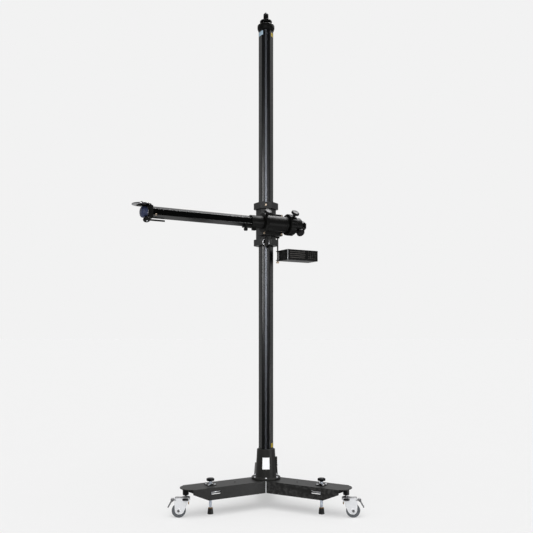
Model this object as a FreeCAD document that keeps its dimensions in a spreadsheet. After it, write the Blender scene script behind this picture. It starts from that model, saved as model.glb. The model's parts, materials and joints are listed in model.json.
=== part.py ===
import FreeCAD, Part
import math
import os
import Sketcher
from FreeCAD import Placement, Rotation, Vector

# A heavy studio column stand: a three-legged wheeled base, a tall column with a
# toothed rack, and a sliding carriage that carries a level cross arm and a tray.
# Millimetres. Z is up and the origin is where the column's axis meets the floor.
# The two front legs point to -X and +X, and the third one points to +Y.

SIZES = {
    # legs: folded channels that meet at the column's axis
    "leg_top": 157.0, "leg_bottom": 91.0, "leg_width": 140.0, "leg_wall": 4.0,
    "leg_nose_height": 27.0, "leg_taper_start": 390.0, "leg_wall_end": 480.0,
    "leg_end_centre": 452.0,
    "castor_radius": 494.0, "foot_radius": 349.0, "leg_screw_radius": 199.0,
    "slot_length": 54.0, "slot_low": 119.0, "slot_high": 137.0, "mitre_angle": 60.0,
    # hub and column socket
    "hub_plate_radius": 74.0, "hub_plate_thickness": 8.0,
    "flange_radius": 82.5, "flange_thickness": 12.0, "socket_foot_radius": 58.5,
    "socket_foot_height": 192.0, "socket_top_radius": 51.0, "socket_top": 327.0,
    "socket_bore": 38.05, "boss_width": 26.0, "boss_reach": 64.0, "boss_low": 190.0,
    "boss_high": 280.0, "flange_screw_circle": 72.0, "flange_screw_radius": 5.0,
    "flange_screw_head": 4.5,
    # castors; the fork and pedal outlines are given where they are drawn
    "wheel_radius": 37.5, "wheel_width": 22.0, "rim_radius": 26.0, "castor_trail": 37.0,
    "axle_radius": 5.0, "running_gap": 0.05, "fork_width": 30.0, "fork_plate": 2.5,
    "fork_top": 108.0, "castor_stem": 6.0, "castor_socket_radius": 16.5,
    "castor_socket_low": 120.0, "castor_head_radius": 22.0, "pedal_width": 23.0,
    "pedal_pin": 3.0, "pedal_pin_x": 52.0,
    "pedal_pin_z": 96.0, "axle_eye_radius": 18.0, "axle_head": 8.0, "axle_head_thickness": 4.0,
    # levelling feet
    "foot_height": 32.0, "foot_low_radius": 16.5, "foot_high_radius": 13.5,
    "screw_radius": 8.0, "screw_low": 12.0, "screw_wheel_radius": 58.0,
    "screw_wheel_low": 127.0, "screw_wheel_high": 137.0, "knob_low": 172.0,
    "knob_high": 195.0, "knob_radius": 21.5, "bush_length": 50.0, "bush_width": 48.0,
    "bush_plate": 4.0, "bush_tube_radius": 14.0, "bush_low": 147.0, "bush_screw": 4.0,
    # column
    "column_corner": 41.9, "column_front": 35.75, "column_front_half": 22.5,
    "column_bore": 26.0, "column_foot": 327.3, "column_top": 2700.0, "corner_round": 4.0,
    "groove_width": 16.0, "groove_depth": 7.0, "rack_width": 12.0, "rack_depth": 6.0,
    "rack_pitch": 9.4248, "rack_tooth": 3.0, "plug_low": 175.0, "plug_radius": 38.0,
    "plug_neck_top": 420.0,
    # top cap and spigot
    "cap_radius": 48.5, "cap_edge_low": 2713.0, "cap_edge_high": 2730.0,
    "cap_neck_radius": 23.5, "cap_top": 2745.0, "spigot_disc_radius": 34.0,
    "spigot_disc_low": 2747.0, "spigot_disc_high": 2759.0, "spigot_radius": 14.3,
    "spigot_shoulder": 2796.0, "spigot_tip": 2806.0,
    # carriage
    "collar_corner": 69.5, "collar_bore": 44.2, "collar_height": 36.0,
    "carriage_low": 1477.0, "carriage_high": 1720.0, "carriage_corner": 57.0,
    "carriage_bore": 46.5, "pad_gap": 0.1, "pad_length": 60.0, "lock_knob_rise": 16.0,
    # arm frame: x runs along the arm from the column, y is the offset of its axis
    "arm_yaw": 210.0, "arm_height": 1590.0, "arm_offset": 110.0, "arm_corner": 30.5,
    "arm_wall": 3.0, "arm_rear": -178.0, "arm_front": 729.0, "arm_gap": 0.1,
    "arm_cap_thickness": 9.0, "shelf_front": 203.0, "shelf_half": 20.0,
    "shelf_low": -34.0, "stop_x": 190.0, "stop_radius": 11.0, "stop_drop": 18.5,
    "guide_radius": 35.0, "lug_rear": 130.0, "guide_front": 164.0, "guide_rear": -151.0,
    "housing_radius": 43.0, "housing_front": 72.0, "housing_rear": -67.5,
    "octagon_flat": 50.0, "octagon_front": 86.0, "ring_front": -68.0,
    "ring_rear": -110.0, "ring_radius": 60.0, "drum_radius": 43.0,
    "bracket_near": 30.0, "bracket_face": 76.0, "bracket_half": 65.0,
    "bracket_half_height": 60.0, "saddle_half": 52.0, "saddle_half_height": 36.0,
    # clamp knobs
    "clamp_cap_radius": 23.0, "clamp_stem": 5.0, "clamp_hole": 5.1, "clamp_insert": 9.0,
    "clamp_neck_radius": 9.0, "clamp_neck_high": 12.0, "clamp_cap_low": 16.0,
    "clamp_cap_high": 31.0, "head_cap_radius": 18.7, "head_cap_low": 10.0,
    "head_cap_high": 25.0, "wing_half": 28.0, "wing_reach": 24.0, "washer_radius": 21.0,
    # camera head at the arm's front end
    "block_front": 754.0, "block_half": 30.0, "drum_rear": 757.0, "disc_drop": 3.0,
    "disc_radius": 29.5, "disc_front": 786.0, "tongue_front": 800.0, "tongue_half": 20.0,
    "plate_radius": 50.0, "plate_low": 31.0, "plate_high": 38.0, "plate_x": 779.0,
    "camera_screw": 4.75, "camera_screw_top": 50.0, "camera_stem": 5.5,
    "screw_head": 9.0, "lever_length": 88.0,
    "block_low": -33.0,
    # tray, in the arm frame
    "tray_near": -79.5, "tray_length": 203.0, "tray_width": 101.0, "tray_side": 5.9,
    "tray_low": 1396.0, "tray_high": 1456.0, "tray_wall": 2.0, "rod_x": -70.5,
    "rod_y": 12.0, "rod_radius": 4.0, "rod_low": 1386.0, "rod_top": 1541.0,
    "lug_half": 8.0, "lug_thickness": 4.0,
}

LEGS = [("front_left", 210.0, 180.0), ("front_right", 330.0, 0.0), ("rear", 90.0, 90.0)]
X_AXIS, Y_AXIS, Z_AXIS = Vector(1, 0, 0), Vector(0, 1, 0), Vector(0, 0, 1)

# Each clamp knob on the arm: how far along the arm it is, its lean from straight up in
# degrees, and the distance from the arm's axis to the face that it stands on.
ROLL_KNOB = (79.0, 45.0, 50.0)
SLIDE_KNOB = (-91.0, 45.0, 60.0)
GUIDE_KNOB = (-134.0, 135.0, 43.0)
HEAD_KNOB = (762.0, 150.0, 34.0)
LEVER_X = 744.0


class Size:
    """A number together with the spreadsheet formula that gives it."""

    def __init__(self, value, formula):
        self.value = float(value)
        self.formula = formula

    def __add__(self, other):
        other = as_size(other)
        return Size(self.value + other.value, f"({self.formula} + {other.formula})")

    def __sub__(self, other):
        other = as_size(other)
        return Size(self.value - other.value, f"({self.formula} - {other.formula})")

    def __mul__(self, factor):
        return Size(self.value * factor, f"({self.formula} * {factor!r})")

    def __truediv__(self, factor):
        return Size(self.value / factor, f"({self.formula} / {factor!r})")

    def __neg__(self):
        return Size(-self.value, f"(0 - {self.formula})")


def as_size(number):
    return number if isinstance(number, Size) else Size(number, repr(float(number)))


class Dimensions:
    """Gives each spreadsheet alias as a Size."""

    def __getattr__(self, alias):
        return Size(SIZES[alias], f"Dims.{alias}")


doc = FreeCAD.newDocument("column_stand")
sheet = doc.addObject("Spreadsheet::Sheet", "Dims")
for row, (alias, number) in enumerate(SIZES.items(), start=1):
    sheet.set(f"A{row}", alias)
    sheet.set(f"B{row}", str(number))
    sheet.setAlias(f"B{row}", alias)
doc.recompute()
dim = Dimensions()
nodes = []


# ---- small builders ------------------------------------------------------

def bind(obj, **sizes):
    """Binds properties to spreadsheet formulas."""
    for name, size in sizes.items():
        size = as_size(size)
        setattr(obj, name, size.value)
        obj.setExpression(name, size.formula)
    return obj


def place(obj, position=(0, 0, 0), rotation=None):
    numbers = [as_size(number).value for number in position]
    obj.Placement = Placement(Vector(*numbers), rotation or Rotation())
    return obj


def node(obj, label):
    """Marks an object as a sub-part and gives it its name."""
    obj.Label = label
    nodes.append(obj)
    return obj


def add(kind, **sizes):
    return bind(doc.addObject(kind, kind.split("::")[1]), **sizes)


def box(low, high):
    """A box between two corners, each given as three sizes."""
    low = [as_size(number) for number in low]
    high = [as_size(number) for number in high]
    spans = [top - bottom for bottom, top in zip(low, high)]
    made = add("Part::Box", Length=spans[0], Width=spans[1], Height=spans[2])
    return place(made, low)


def cylinder(radius, height, position=(0, 0, 0), rotation=None):
    return place(add("Part::Cylinder", Radius=radius, Height=height), position, rotation)


def prism(sides, corner, height, position=(0, 0, 0), rotation=None):
    made = add("Part::Prism", Circumradius=corner, Height=height)
    made.Polygon = sides
    return place(made, position, rotation)


def fuse(*shapes):
    made = doc.addObject("Part::MultiFuse", "Fuse")
    made.Shapes = list(shapes)
    return made


def cut(base, *tools):
    made = doc.addObject("Part::Cut", "Cut")
    made.Base = base
    made.Tool = tools[0] if len(tools) == 1 else fuse(*tools)
    return made


def group(*shapes):
    """Separate solids that share one node."""
    made = doc.addObject("Part::Compound", "Group")
    made.Links = list(shapes)
    return made


def new_body():
    return doc.addObject("PartDesign::Body", "Body")


def sketch_on(body, plane):
    sketch = body.newObject("Sketcher::SketchObject", "Sketch")
    origin = [item for item in body.Origin.OriginFeatures if item.Role == plane][0]
    sketch.AttachmentSupport = [(origin, "")]
    sketch.MapMode = "FlatFace"
    return sketch


def pin_point(sketch, geometry, corner, across, up):
    """Holds one sketch point at its distances from the origin."""
    axes = (("DistanceX", as_size(across), -2), ("DistanceY", as_size(up), -1))
    for kind, size, axis in axes:
        if abs(size.value) < 1e-9:
            sketch.addConstraint(Sketcher.Constraint("PointOnObject", geometry, corner, axis))
            continue
        index = sketch.addConstraint(
            Sketcher.Constraint(kind, -1, 1, geometry, corner, size.value))
        sketch.setExpression(f"Constraints[{index}]", size.formula)


def polygon(sketch, corners):
    points = [Vector(as_size(a).value, as_size(b).value, 0) for a, b in corners]
    count = len(points)
    for index in range(count):
        segment = Part.LineSegment(points[index], points[(index + 1) % count])
        sketch.addGeometry(segment, False)
    for index in range(count):
        after = (index + 1) % count
        sketch.addConstraint(Sketcher.Constraint("Coincident", index, 2, after, 1))
    for index, (across, up) in enumerate(corners):
        pin_point(sketch, index, 1, across, up)


def circle(sketch, across, up, radius):
    centre = Vector(as_size(across).value, as_size(up).value, 0)
    radius = as_size(radius)
    index = sketch.addGeometry(Part.Circle(centre, Z_AXIS, radius.value), False)
    pin_point(sketch, index, 3, across, up)
    number = sketch.addConstraint(Sketcher.Constraint("Radius", index, radius.value))
    sketch.setExpression(f"Constraints[{number}]", radius.formula)


def extrude(body, kind, sketch, length, both_sides=False, backwards=False):
    feature = body.newObject(f"PartDesign::{kind}", kind)
    feature.Profile = sketch
    feature.Midplane = both_sides
    feature.Reversed = backwards
    return bind(feature, Length=length)


def turned(outline, position=(0, 0, 0), rotation=None):
    """A body turned about its own Z from (radius, height) corners."""
    body = new_body()
    sketch = sketch_on(body, "XZ_Plane")
    polygon(sketch, outline)
    feature = body.newObject("PartDesign::Revolution", "Revolution")
    feature.Profile = sketch
    feature.ReferenceAxis = (sketch, ["V_Axis"])
    feature.Angle = 360.0
    return place(body, position, rotation)


def plate_body(outline, plane, thickness, position=(0, 0, 0), rotation=None, both=True):
    """A body padded from one outline."""
    body = new_body()
    sketch = sketch_on(body, plane)
    polygon(sketch, outline)
    extrude(body, "Pad", sketch, thickness, both_sides=both)
    return place(body, position, rotation)


def about_z(angle):
    return Rotation(Z_AXIS, as_size(angle).value)


def on_leg(azimuth, radius, height=0.0):
    angle = math.radians(azimuth)
    reach = as_size(radius).value
    return (reach * math.cos(angle), reach * math.sin(angle), height)


ARM_TURN = about_z(dim.arm_yaw)
ALONG_ARM = ARM_TURN.multiply(Rotation(Y_AXIS, 90.0))


def in_arm_frame(along, offset, height):
    """A point given along the arm, across from the column's axis, and above the floor."""
    local = Vector(as_size(along).value, as_size(offset).value, as_size(height).value)
    return tuple(ARM_TURN.multVec(local))


# ---- base ----------------------------------------------------------------

def leg(azimuth):
    """A channel folded from one plate, with a round end over the castor."""
    half = dim.leg_width / 2
    mitre = half / math.tan(math.radians(SIZES["mitre_angle"]))
    under = dim.leg_top - dim.leg_wall
    body = new_body()
    sketch = sketch_on(body, "XY_Plane")
    polygon(sketch, [(0, 0), (mitre, -half), (dim.leg_end_centre, -half),
                     (dim.leg_end_centre, half), (mitre, half)])
    extrude(body, "Pad", sketch, dim.leg_wall)
    sketch.AttachmentOffset = Placement(Vector(0, 0, under.value), Rotation())
    sketch.setExpression("AttachmentOffset.Base.z", under.formula)
    end = sketch_on(body, "XY_Plane")
    circle(end, dim.leg_end_centre, 0, half)
    extrude(body, "Pad", end, dim.leg_wall)
    end.AttachmentOffset = Placement(Vector(0, 0, under.value), Rotation())
    end.setExpression("AttachmentOffset.Base.z", under.formula)
    side = sketch_on(body, "XZ_Plane")
    polygon(side, [(mitre, dim.leg_bottom), (dim.leg_taper_start, dim.leg_bottom),
                   (dim.leg_wall_end, dim.leg_top - dim.leg_nose_height),
                   (dim.leg_wall_end, dim.leg_top), (mitre, dim.leg_top)])
    extrude(body, "Pad", side, dim.leg_width, both_sides=True)
    inside = sketch_on(body, "XZ_Plane")
    margin = 10.0
    polygon(inside, [(mitre - margin, dim.leg_bottom - margin),
                     (dim.leg_wall_end + margin, dim.leg_bottom - margin),
                     (dim.leg_wall_end + margin, under), (mitre - margin, under)])
    extrude(body, "Pocket", inside, dim.leg_width - dim.leg_wall * 2, both_sides=True)
    slot = sketch_on(body, "XZ_Plane")
    slot_half = dim.slot_length / 2
    polygon(slot, [(dim.foot_radius - slot_half, dim.slot_low),
                   (dim.foot_radius + slot_half, dim.slot_low),
                   (dim.foot_radius + slot_half, dim.slot_high),
                   (dim.foot_radius - slot_half, dim.slot_high)])
    extrude(body, "Pocket", slot, dim.leg_width * 2, both_sides=True)
    holes = sketch_on(body, "XY_Plane")
    circle(holes, dim.foot_radius, 0, dim.bush_tube_radius)
    circle(holes, dim.leg_screw_radius, 0, dim.bush_screw)
    extrude(body, "Pocket", holes, dim.leg_top * 2, both_sides=True)
    body.Tip = body.Group[-1]
    return place(body, (0, 0, 0), about_z(azimuth))


def hub_plate():
    low = dim.leg_top - dim.leg_wall - dim.hub_plate_thickness
    return cylinder(dim.hub_plate_radius, dim.hub_plate_thickness, (0, 0, low))


def column_socket():
    """The casting that the column stands in, with its bolted flange and clamp boss."""
    low = dim.leg_top
    flange_top = low + dim.flange_thickness
    outer = turned([(dim.socket_bore, low), (dim.flange_radius, low),
                    (dim.flange_radius, flange_top - 2), (dim.flange_radius - 2, flange_top),
                    (dim.socket_foot_radius + 4, flange_top),
                    (dim.socket_foot_radius + 1, flange_top + 6),
                    (dim.socket_foot_radius, dim.socket_foot_height),
                    (dim.socket_top_radius, dim.socket_top - 3),
                    (dim.socket_top_radius - 3, dim.socket_top),
                    (dim.socket_bore, dim.socket_top)])
    half = dim.boss_width / 2
    boss = box((dim.socket_bore + 4, -half, dim.boss_low),
               (dim.boss_reach, half, dim.boss_high))
    return fuse(outer, boss)


def socket_screws():
    """Six flange screws, and the screw in the clamp boss."""
    top = dim.leg_top + dim.flange_thickness
    made = []
    for index in range(6):
        angle = 30.0 + 60.0 * index
        made.append(prism(6, dim.flange_screw_radius, dim.flange_screw_head,
                          on_leg(angle, dim.flange_screw_circle, top), about_z(angle)))
    middle = (dim.boss_low + dim.boss_high) / 2
    made.append(cylinder(dim.flange_screw_radius, dim.flange_screw_head,
                         (dim.boss_reach, 0, middle), Rotation(Y_AXIS, 90.0)))
    return group(*made)


def levelling_bushes():
    """The threaded bush of each levelling screw, with its square plate."""
    made = []
    half_length, half_width = dim.bush_length / 2, dim.bush_width / 2
    for _, azimuth, _ in LEGS:
        plate = box((-half_length, -half_width, dim.leg_top),
                    (half_length, half_width, dim.leg_top + dim.bush_plate))
        tube = cylinder(dim.bush_tube_radius, dim.leg_top - dim.bush_low, (0, 0, dim.bush_low))
        collar = cylinder(dim.bush_tube_radius, dim.bush_plate,
                          (0, 0, dim.leg_top + dim.bush_plate))
        hole = cylinder(dim.screw_radius + dim.running_gap, dim.leg_top * 2)
        made.append(place(cut(fuse(plate, tube, collar), hole),
                          on_leg(azimuth, dim.foot_radius), about_z(azimuth)))
    return group(*made)


def leg_screws():
    """Four screws in each bush plate and one near the column on each leg."""
    made = []
    reach, side = dim.bush_length / 2 - 7, dim.bush_width / 2 - 7
    for _, azimuth, _ in LEGS:
        turn = about_z(azimuth)
        spots = [(dim.foot_radius + reach * a, side * b, dim.leg_top + dim.bush_plate)
                 for a in (-1, 1) for b in (-1, 1)]
        spots.append((dim.leg_screw_radius, as_size(0), dim.leg_top))
        for spot in spots:
            point = turn.multVec(Vector(*[as_size(number).value for number in spot]))
            made.append(cylinder(dim.bush_screw, dim.bush_plate / 2, tuple(point), turn))
    return group(*made)


def castor_sockets():
    made = []
    under = dim.leg_top - dim.leg_wall
    for _, azimuth, _ in LEGS:
        outside = cylinder(dim.castor_socket_radius, under - dim.castor_socket_low,
                           (0, 0, dim.castor_socket_low))
        hole = cylinder(dim.castor_stem + dim.running_gap, 30.0,
                        (0, 0, dim.castor_socket_low))
        made.append(place(cut(outside, hole), on_leg(azimuth, dim.castor_radius)))
    return group(*made)


def make_base():
    for name, azimuth, _ in LEGS:
        node(leg(azimuth), f"leg_{name}")
    node(hub_plate(), "hub_plate")
    node(column_socket(), "column_socket")
    node(socket_screws(), "socket_screws")
    node(levelling_bushes(), "levelling_bushes")
    node(leg_screws(), "leg_screws")
    node(castor_sockets(), "castor_sockets")


# ---- castors -------------------------------------------------------------

def castor_fork():
    """A pressed fork with its swivel head, stem and axle; the wheel trails along +X."""
    axle_height = dim.wheel_radius
    body = plate_body([(-22, 90), (-6, 80), (-2, 44), (14, 24), (37, 19.5), (55, 34), (59, 84),
                       (57, dim.fork_top), (-22, dim.fork_top)], "XZ_Plane", dim.fork_width)
    eye = sketch_on(body, "XZ_Plane")
    circle(eye, dim.castor_trail, axle_height, dim.axle_eye_radius)
    extrude(body, "Pad", eye, dim.fork_width, both_sides=True)
    inside = sketch_on(body, "XZ_Plane")
    polygon(inside, [(-30, 10), (70, 10), (70, dim.fork_top - dim.fork_plate * 1.6),
                     (-30, dim.fork_top - dim.fork_plate * 1.6)])
    extrude(body, "Pocket", inside, dim.fork_width - dim.fork_plate * 2, both_sides=True)
    hole = sketch_on(body, "XZ_Plane")
    circle(hole, dim.pedal_pin_x, dim.pedal_pin_z, dim.pedal_pin + dim.running_gap)
    extrude(body, "Pocket", hole, dim.fork_width * 2, both_sides=True)
    head = cylinder(dim.castor_head_radius, 3.0, (0, 0, dim.fork_top))
    stem = cylinder(dim.castor_stem, 38.0, (0, 0, dim.fork_top + 2))
    return fuse(body, head, stem)


def castor_axle():
    """The axle bolt, with a head outside each cheek."""
    half = dim.fork_width / 2
    lying = Rotation(X_AXIS, 90.0)
    shaft = cylinder(dim.axle_radius, dim.fork_width - dim.fork_plate * 2,
                     (dim.castor_trail, half - dim.fork_plate, dim.wheel_radius), lying)
    thick = dim.axle_head_thickness
    heads = [prism(6, dim.axle_head, thick, (dim.castor_trail, start, dim.wheel_radius), lying)
             for start in (-half, half + thick)]
    return shaft, heads


def wheel_ring(outer, inner, width):
    """A ring about the axle."""
    half = width / 2
    lying = Rotation(X_AXIS, 90.0)
    centre = (dim.castor_trail, half, dim.wheel_radius)
    return cut(cylinder(outer, width, centre, lying),
               cylinder(inner, width, centre, lying))


def brake_pedal():
    """The brake pedal: a bar between the cheeks with a tongue that slants down outside."""
    bar = plate_body([(47, 90), (73, 84), (92, 51), (98, 55), (80, 88), (79, 102), (47, 102)],
                     "XZ_Plane", dim.pedal_width)
    pin = cylinder(dim.pedal_pin, dim.fork_width,
                   (dim.pedal_pin_x, dim.fork_width / 2, dim.pedal_pin_z), Rotation(X_AXIS, 90.0))
    return fuse(bar, pin)


def make_castors():
    for name, azimuth, heading in LEGS:
        spot, turn = on_leg(azimuth, dim.castor_radius), about_z(heading)
        shaft, heads = castor_axle()
        for label, made in (("castor_fork", group(castor_fork(), shaft, *heads)),
                            ("wheel_hub", wheel_ring(dim.rim_radius, dim.axle_radius
                                                     + dim.running_gap, dim.wheel_width - 2)),
                            ("tyre", wheel_ring(dim.wheel_radius, dim.rim_radius,
                                                dim.wheel_width)),
                            ("brake_pedal", brake_pedal())):
            node(place(made, spot, turn), f"{label}_{name}")


# ---- levelling feet ------------------------------------------------------

def foot_pad(spot):
    """A rubber foot with a blind hole that the screw turns in."""
    high, low = dim.foot_high_radius, dim.foot_low_radius
    bore, floor = dim.screw_radius + dim.running_gap, dim.screw_low - 0.1
    return turned([(0, 0), (low, 0), (low, 5), (high, dim.foot_height - 3),
                   (high - 1, dim.foot_height), (bore, dim.foot_height), (bore, floor),
                   (0, floor)], spot)


def levelling_screw(spot):
    """The screw, with the hand wheel that shows through the slots of the leg."""
    rod, wheel = dim.screw_radius, dim.screw_wheel_radius
    return turned([(0, dim.screw_low), (rod, dim.screw_low), (rod, dim.screw_wheel_low),
                   (wheel, dim.screw_wheel_low), (wheel, dim.screw_wheel_high),
                   (rod, dim.screw_wheel_high), (rod, dim.knob_low), (0, dim.knob_low)], spot)


def levelling_knob(spot):
    low, high, radius = dim.knob_low, dim.knob_high, dim.knob_radius
    return turned([(0, low), (11, low), (13, low + 7), (radius - 2, low + 9),
                   (radius, low + 12), (radius, high - 5), (radius - 4, high - 1),
                   (0, high)], spot)


def make_feet():
    for name, azimuth, _ in LEGS:
        spot = on_leg(azimuth, dim.foot_radius)
        node(foot_pad(spot), f"foot_pad_{name}")
        node(levelling_screw(spot), f"levelling_screw_{name}")
        node(levelling_knob(spot), f"levelling_knob_{name}")


# ---- column --------------------------------------------------------------

def column_tube():
    """A six-sided extrusion with a round bore and a rack groove in its front face."""
    half, front, corner = dim.column_front_half, dim.column_front, dim.column_corner
    length = dim.column_top - dim.column_foot
    body = plate_body([(-corner, 0), (-half, -front), (half, -front), (corner, 0),
                       (half, front), (-half, front)], "XY_Plane", length, both=False)
    doc.recompute()
    upright = [f"Edge{index}" for index, edge in enumerate(body.Shape.Edges, start=1)
               if edge.Length > length.value * 0.9]
    rounding = body.newObject("PartDesign::Fillet", "Fillet")
    rounding.Base = (body.Group[-2], upright)
    bind(rounding, Radius=dim.corner_round)
    body.Tip = rounding
    doc.recompute()
    bore = sketch_on(body, "XY_Plane")
    circle(bore, 0, 0, dim.column_bore)
    extrude(body, "Pocket", bore, length * 2, both_sides=True)
    groove = sketch_on(body, "XY_Plane")
    side, floor = dim.groove_width / 2, dim.groove_depth - front
    polygon(groove, [(-side, -front - 5), (side, -front - 5), (side, floor), (-side, floor)])
    extrude(body, "Pocket", groove, length * 2, both_sides=True)
    return place(body, (0, 0, dim.column_foot))


def rack():
    """A straight rack with one tooth per pitch, lying in the column's groove."""
    pitch, tooth = dim.rack_pitch.value, dim.rack_tooth.value
    low, high = dim.column_foot.value, dim.column_top.value
    back = dim.groove_depth.value - dim.column_front.value
    root = back - (dim.rack_depth.value - tooth)
    tip = back - dim.rack_depth.value
    count = int((high - low) / pitch)
    corners = [(back, low), (root, low)]
    for index in range(count):
        start = low + pitch * index
        corners += [(root, start + pitch * 0.12), (tip, start + pitch * 0.32),
                    (tip, start + pitch * 0.68), (root, start + pitch * 0.88)]
    corners += [(root, high), (back, high)]
    half = dim.rack_width.value / 2
    wire = Part.makePolygon([Vector(-half, y, z) for y, z in corners + corners[:1]])
    made = doc.addObject("Part::Feature", "Rack")
    made.Shape = Part.Face(wire).extrude(Vector(2 * half, 0, 0))
    return place(made)


def column_plug():
    """The turned foot of the column, which runs in the socket."""
    return turned([(0, dim.plug_low), (dim.plug_radius, dim.plug_low),
                   (dim.plug_radius, dim.column_foot), (dim.column_bore, dim.column_foot),
                   (dim.column_bore, dim.plug_neck_top), (0, dim.plug_neck_top)])


def top_cap():
    radius = dim.cap_radius
    return turned([(0, dim.column_top), (radius - 5, dim.column_top),
                   (radius, dim.cap_edge_low), (radius, dim.cap_edge_high),
                   (dim.cap_neck_radius, dim.cap_top), (0, dim.cap_top)])


def top_spigot():
    disc, pin = dim.spigot_disc_radius, dim.spigot_radius
    return turned([(0, dim.cap_top), (pin + 4, dim.cap_top), (pin + 4, dim.spigot_disc_low),
                   (disc - 2, dim.spigot_disc_low), (disc, dim.spigot_disc_low + 2),
                   (disc, dim.spigot_disc_high - 2), (disc - 2, dim.spigot_disc_high),
                   (pin, dim.spigot_disc_high), (pin, dim.spigot_shoulder),
                   (5, dim.spigot_tip), (0, dim.spigot_tip)])


def make_column():
    node(column_tube(), "column_tube")
    node(rack(), "column_rack")
    node(column_plug(), "column_plug")
    node(top_cap(), "top_cap")
    node(top_spigot(), "top_spigot")


# ---- carriage ------------------------------------------------------------

def sleeve(corner, bore, low, high):
    return cut(prism(6, corner, high - low, (0, 0, low)),
               prism(6, bore, high - low, (0, 0, low)))


def carriage_collars():
    low, high, tall = dim.carriage_low, dim.carriage_high, dim.collar_height
    return group(sleeve(dim.collar_corner, dim.collar_bore, low, low + tall),
                 sleeve(dim.collar_corner, dim.collar_bore, high - tall, high))


def guide_pads():
    """Slide pads between the carriage and the front and back faces of the column."""
    made = []
    flat = dim.carriage_bore * math.cos(math.radians(30.0))
    near = dim.column_front + dim.pad_gap
    low = dim.carriage_low + dim.collar_height
    high = dim.carriage_high - dim.collar_height
    for start in (low + 8, high - dim.pad_length - 8):
        for left, right in ((-20, -9), (9, 20)):
            made.append(box((left, -flat, start), (right, -near, start + dim.pad_length)))
        made.append(box((-18, near, start), (18, flat, start + dim.pad_length)))
    return group(*made)


def housing_bracket():
    """The bracket that holds the arm housing off the corner of the carriage."""
    middle = dim.arm_height
    half, tall = dim.bracket_half, dim.bracket_half_height
    plate = box((-half, dim.bracket_near, -tall), (half, dim.bracket_face, tall))
    saddle = box((-dim.saddle_half, dim.bracket_face, -dim.saddle_half_height),
                 (dim.saddle_half, dim.arm_offset, dim.saddle_half_height))
    solid = place(fuse(plate, saddle), (0, 0, middle), ARM_TURN)
    hull = prism(6, dim.carriage_corner, dim.carriage_high - dim.carriage_low,
                 (0, 0, dim.carriage_low))
    barrel = cylinder(dim.housing_radius, dim.bracket_half * 4,
                      in_arm_frame(-dim.bracket_half * 2, dim.arm_offset, middle), ALONG_ARM)
    return cut(solid, hull, barrel)


def arm_tube_ring(outer, inner, rear, front):
    """A ring about the arm's axis between two stations along it."""
    spot = in_arm_frame(rear, dim.arm_offset, dim.arm_height)
    return cut(cylinder(outer, front - rear, spot, ALONG_ARM),
               cylinder(inner, front - rear, spot, ALONG_ARM))


def knob_direction(lean):
    """The turn that points Z at a lean from straight up, in the arm's cross-section."""
    return ARM_TURN.multiply(Rotation(X_AXIS, -lean))


def knob_spot(along, lean, reach):
    angle = math.radians(lean)
    return in_arm_frame(along, dim.arm_offset + reach * math.sin(angle),
                        dim.arm_height + reach * math.cos(angle))


def knob_hole(along, lean, reach, depth):
    return cylinder(dim.clamp_hole, depth, knob_spot(along, lean, reach), knob_direction(lean))


def housing_flange():
    """The eight-sided flange at the front of the housing, bored for its clamp knob."""
    corner = dim.octagon_flat / math.cos(math.radians(22.5))
    thick = dim.octagon_front - dim.housing_front
    spot = in_arm_frame(dim.housing_front, dim.arm_offset, dim.arm_height)
    turn = ALONG_ARM.multiply(Rotation(Z_AXIS, 22.5))
    plate = prism(8, corner, thick, spot, turn)
    bore = cylinder(dim.guide_radius + dim.running_gap, thick, spot, ALONG_ARM)
    return cut(plate, bore, knob_hole(ROLL_KNOB[0], ROLL_KNOB[1], 40.0, 20.0))


def clamp_knob(along, lean, reach):
    """A mushroom clamp knob that stands on a face at a reach from the arm's axis."""
    cap, stem, neck = dim.clamp_cap_radius, dim.clamp_stem, dim.clamp_neck_radius
    low, high = dim.clamp_cap_low, dim.clamp_cap_high
    seat = 2.0
    return turned([(0, -dim.clamp_insert), (stem, -dim.clamp_insert), (stem, seat),
                   (neck, seat), (neck - 1, dim.clamp_neck_high), (cap - 4, low),
                   (cap, low + 3), (cap, high - 7), (cap - 4, high - 2), (0, high)],
                  knob_spot(along, lean, reach), knob_direction(lean))


def carriage_lock_knob():
    """A wing knob on a bright washer, with its screw towards the column's rack."""
    front = -(dim.collar_corner * math.cos(math.radians(30.0)))
    height = dim.carriage_low + dim.lock_knob_rise
    lying = Rotation(X_AXIS, 90.0)
    clear, thick, half, reach = 0.3, 3.0, dim.wing_half, dim.wing_reach
    washer = cylinder(dim.washer_radius, thick, (0, front - clear, height), lying)
    stem = cylinder(dim.clamp_stem, 34.0, (0, front + 16, height), lying)
    boss = cylinder(dim.washer_radius / 2, reach - 10, (0, front - clear - thick, height),
                    lying)
    wing = box((-6, -reach + front, -half + height), (6, front - 8, half + height))
    return fuse(washer, stem, boss, wing)


def carriage_screws():
    """Screw heads on the front faces of the collars and on the bracket."""
    lying = Rotation(X_AXIS, 90.0)
    front = -(dim.collar_corner * math.cos(math.radians(30.0)))
    top = dim.carriage_high - dim.collar_height / 2
    made = [cylinder(5.0, 3.0, (0, front, top), lying)]
    outward = ARM_TURN.multiply(Rotation(X_AXIS, -90.0))
    for along in (-dim.bracket_half + 8, dim.bracket_half - 8):
        for height in (-dim.bracket_half_height + 9, dim.bracket_half_height - 9):
            spot = in_arm_frame(along, dim.bracket_face, dim.arm_height + height)
            made.append(cylinder(5.5, 4.0, spot, outward))
    return group(*made)


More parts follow.
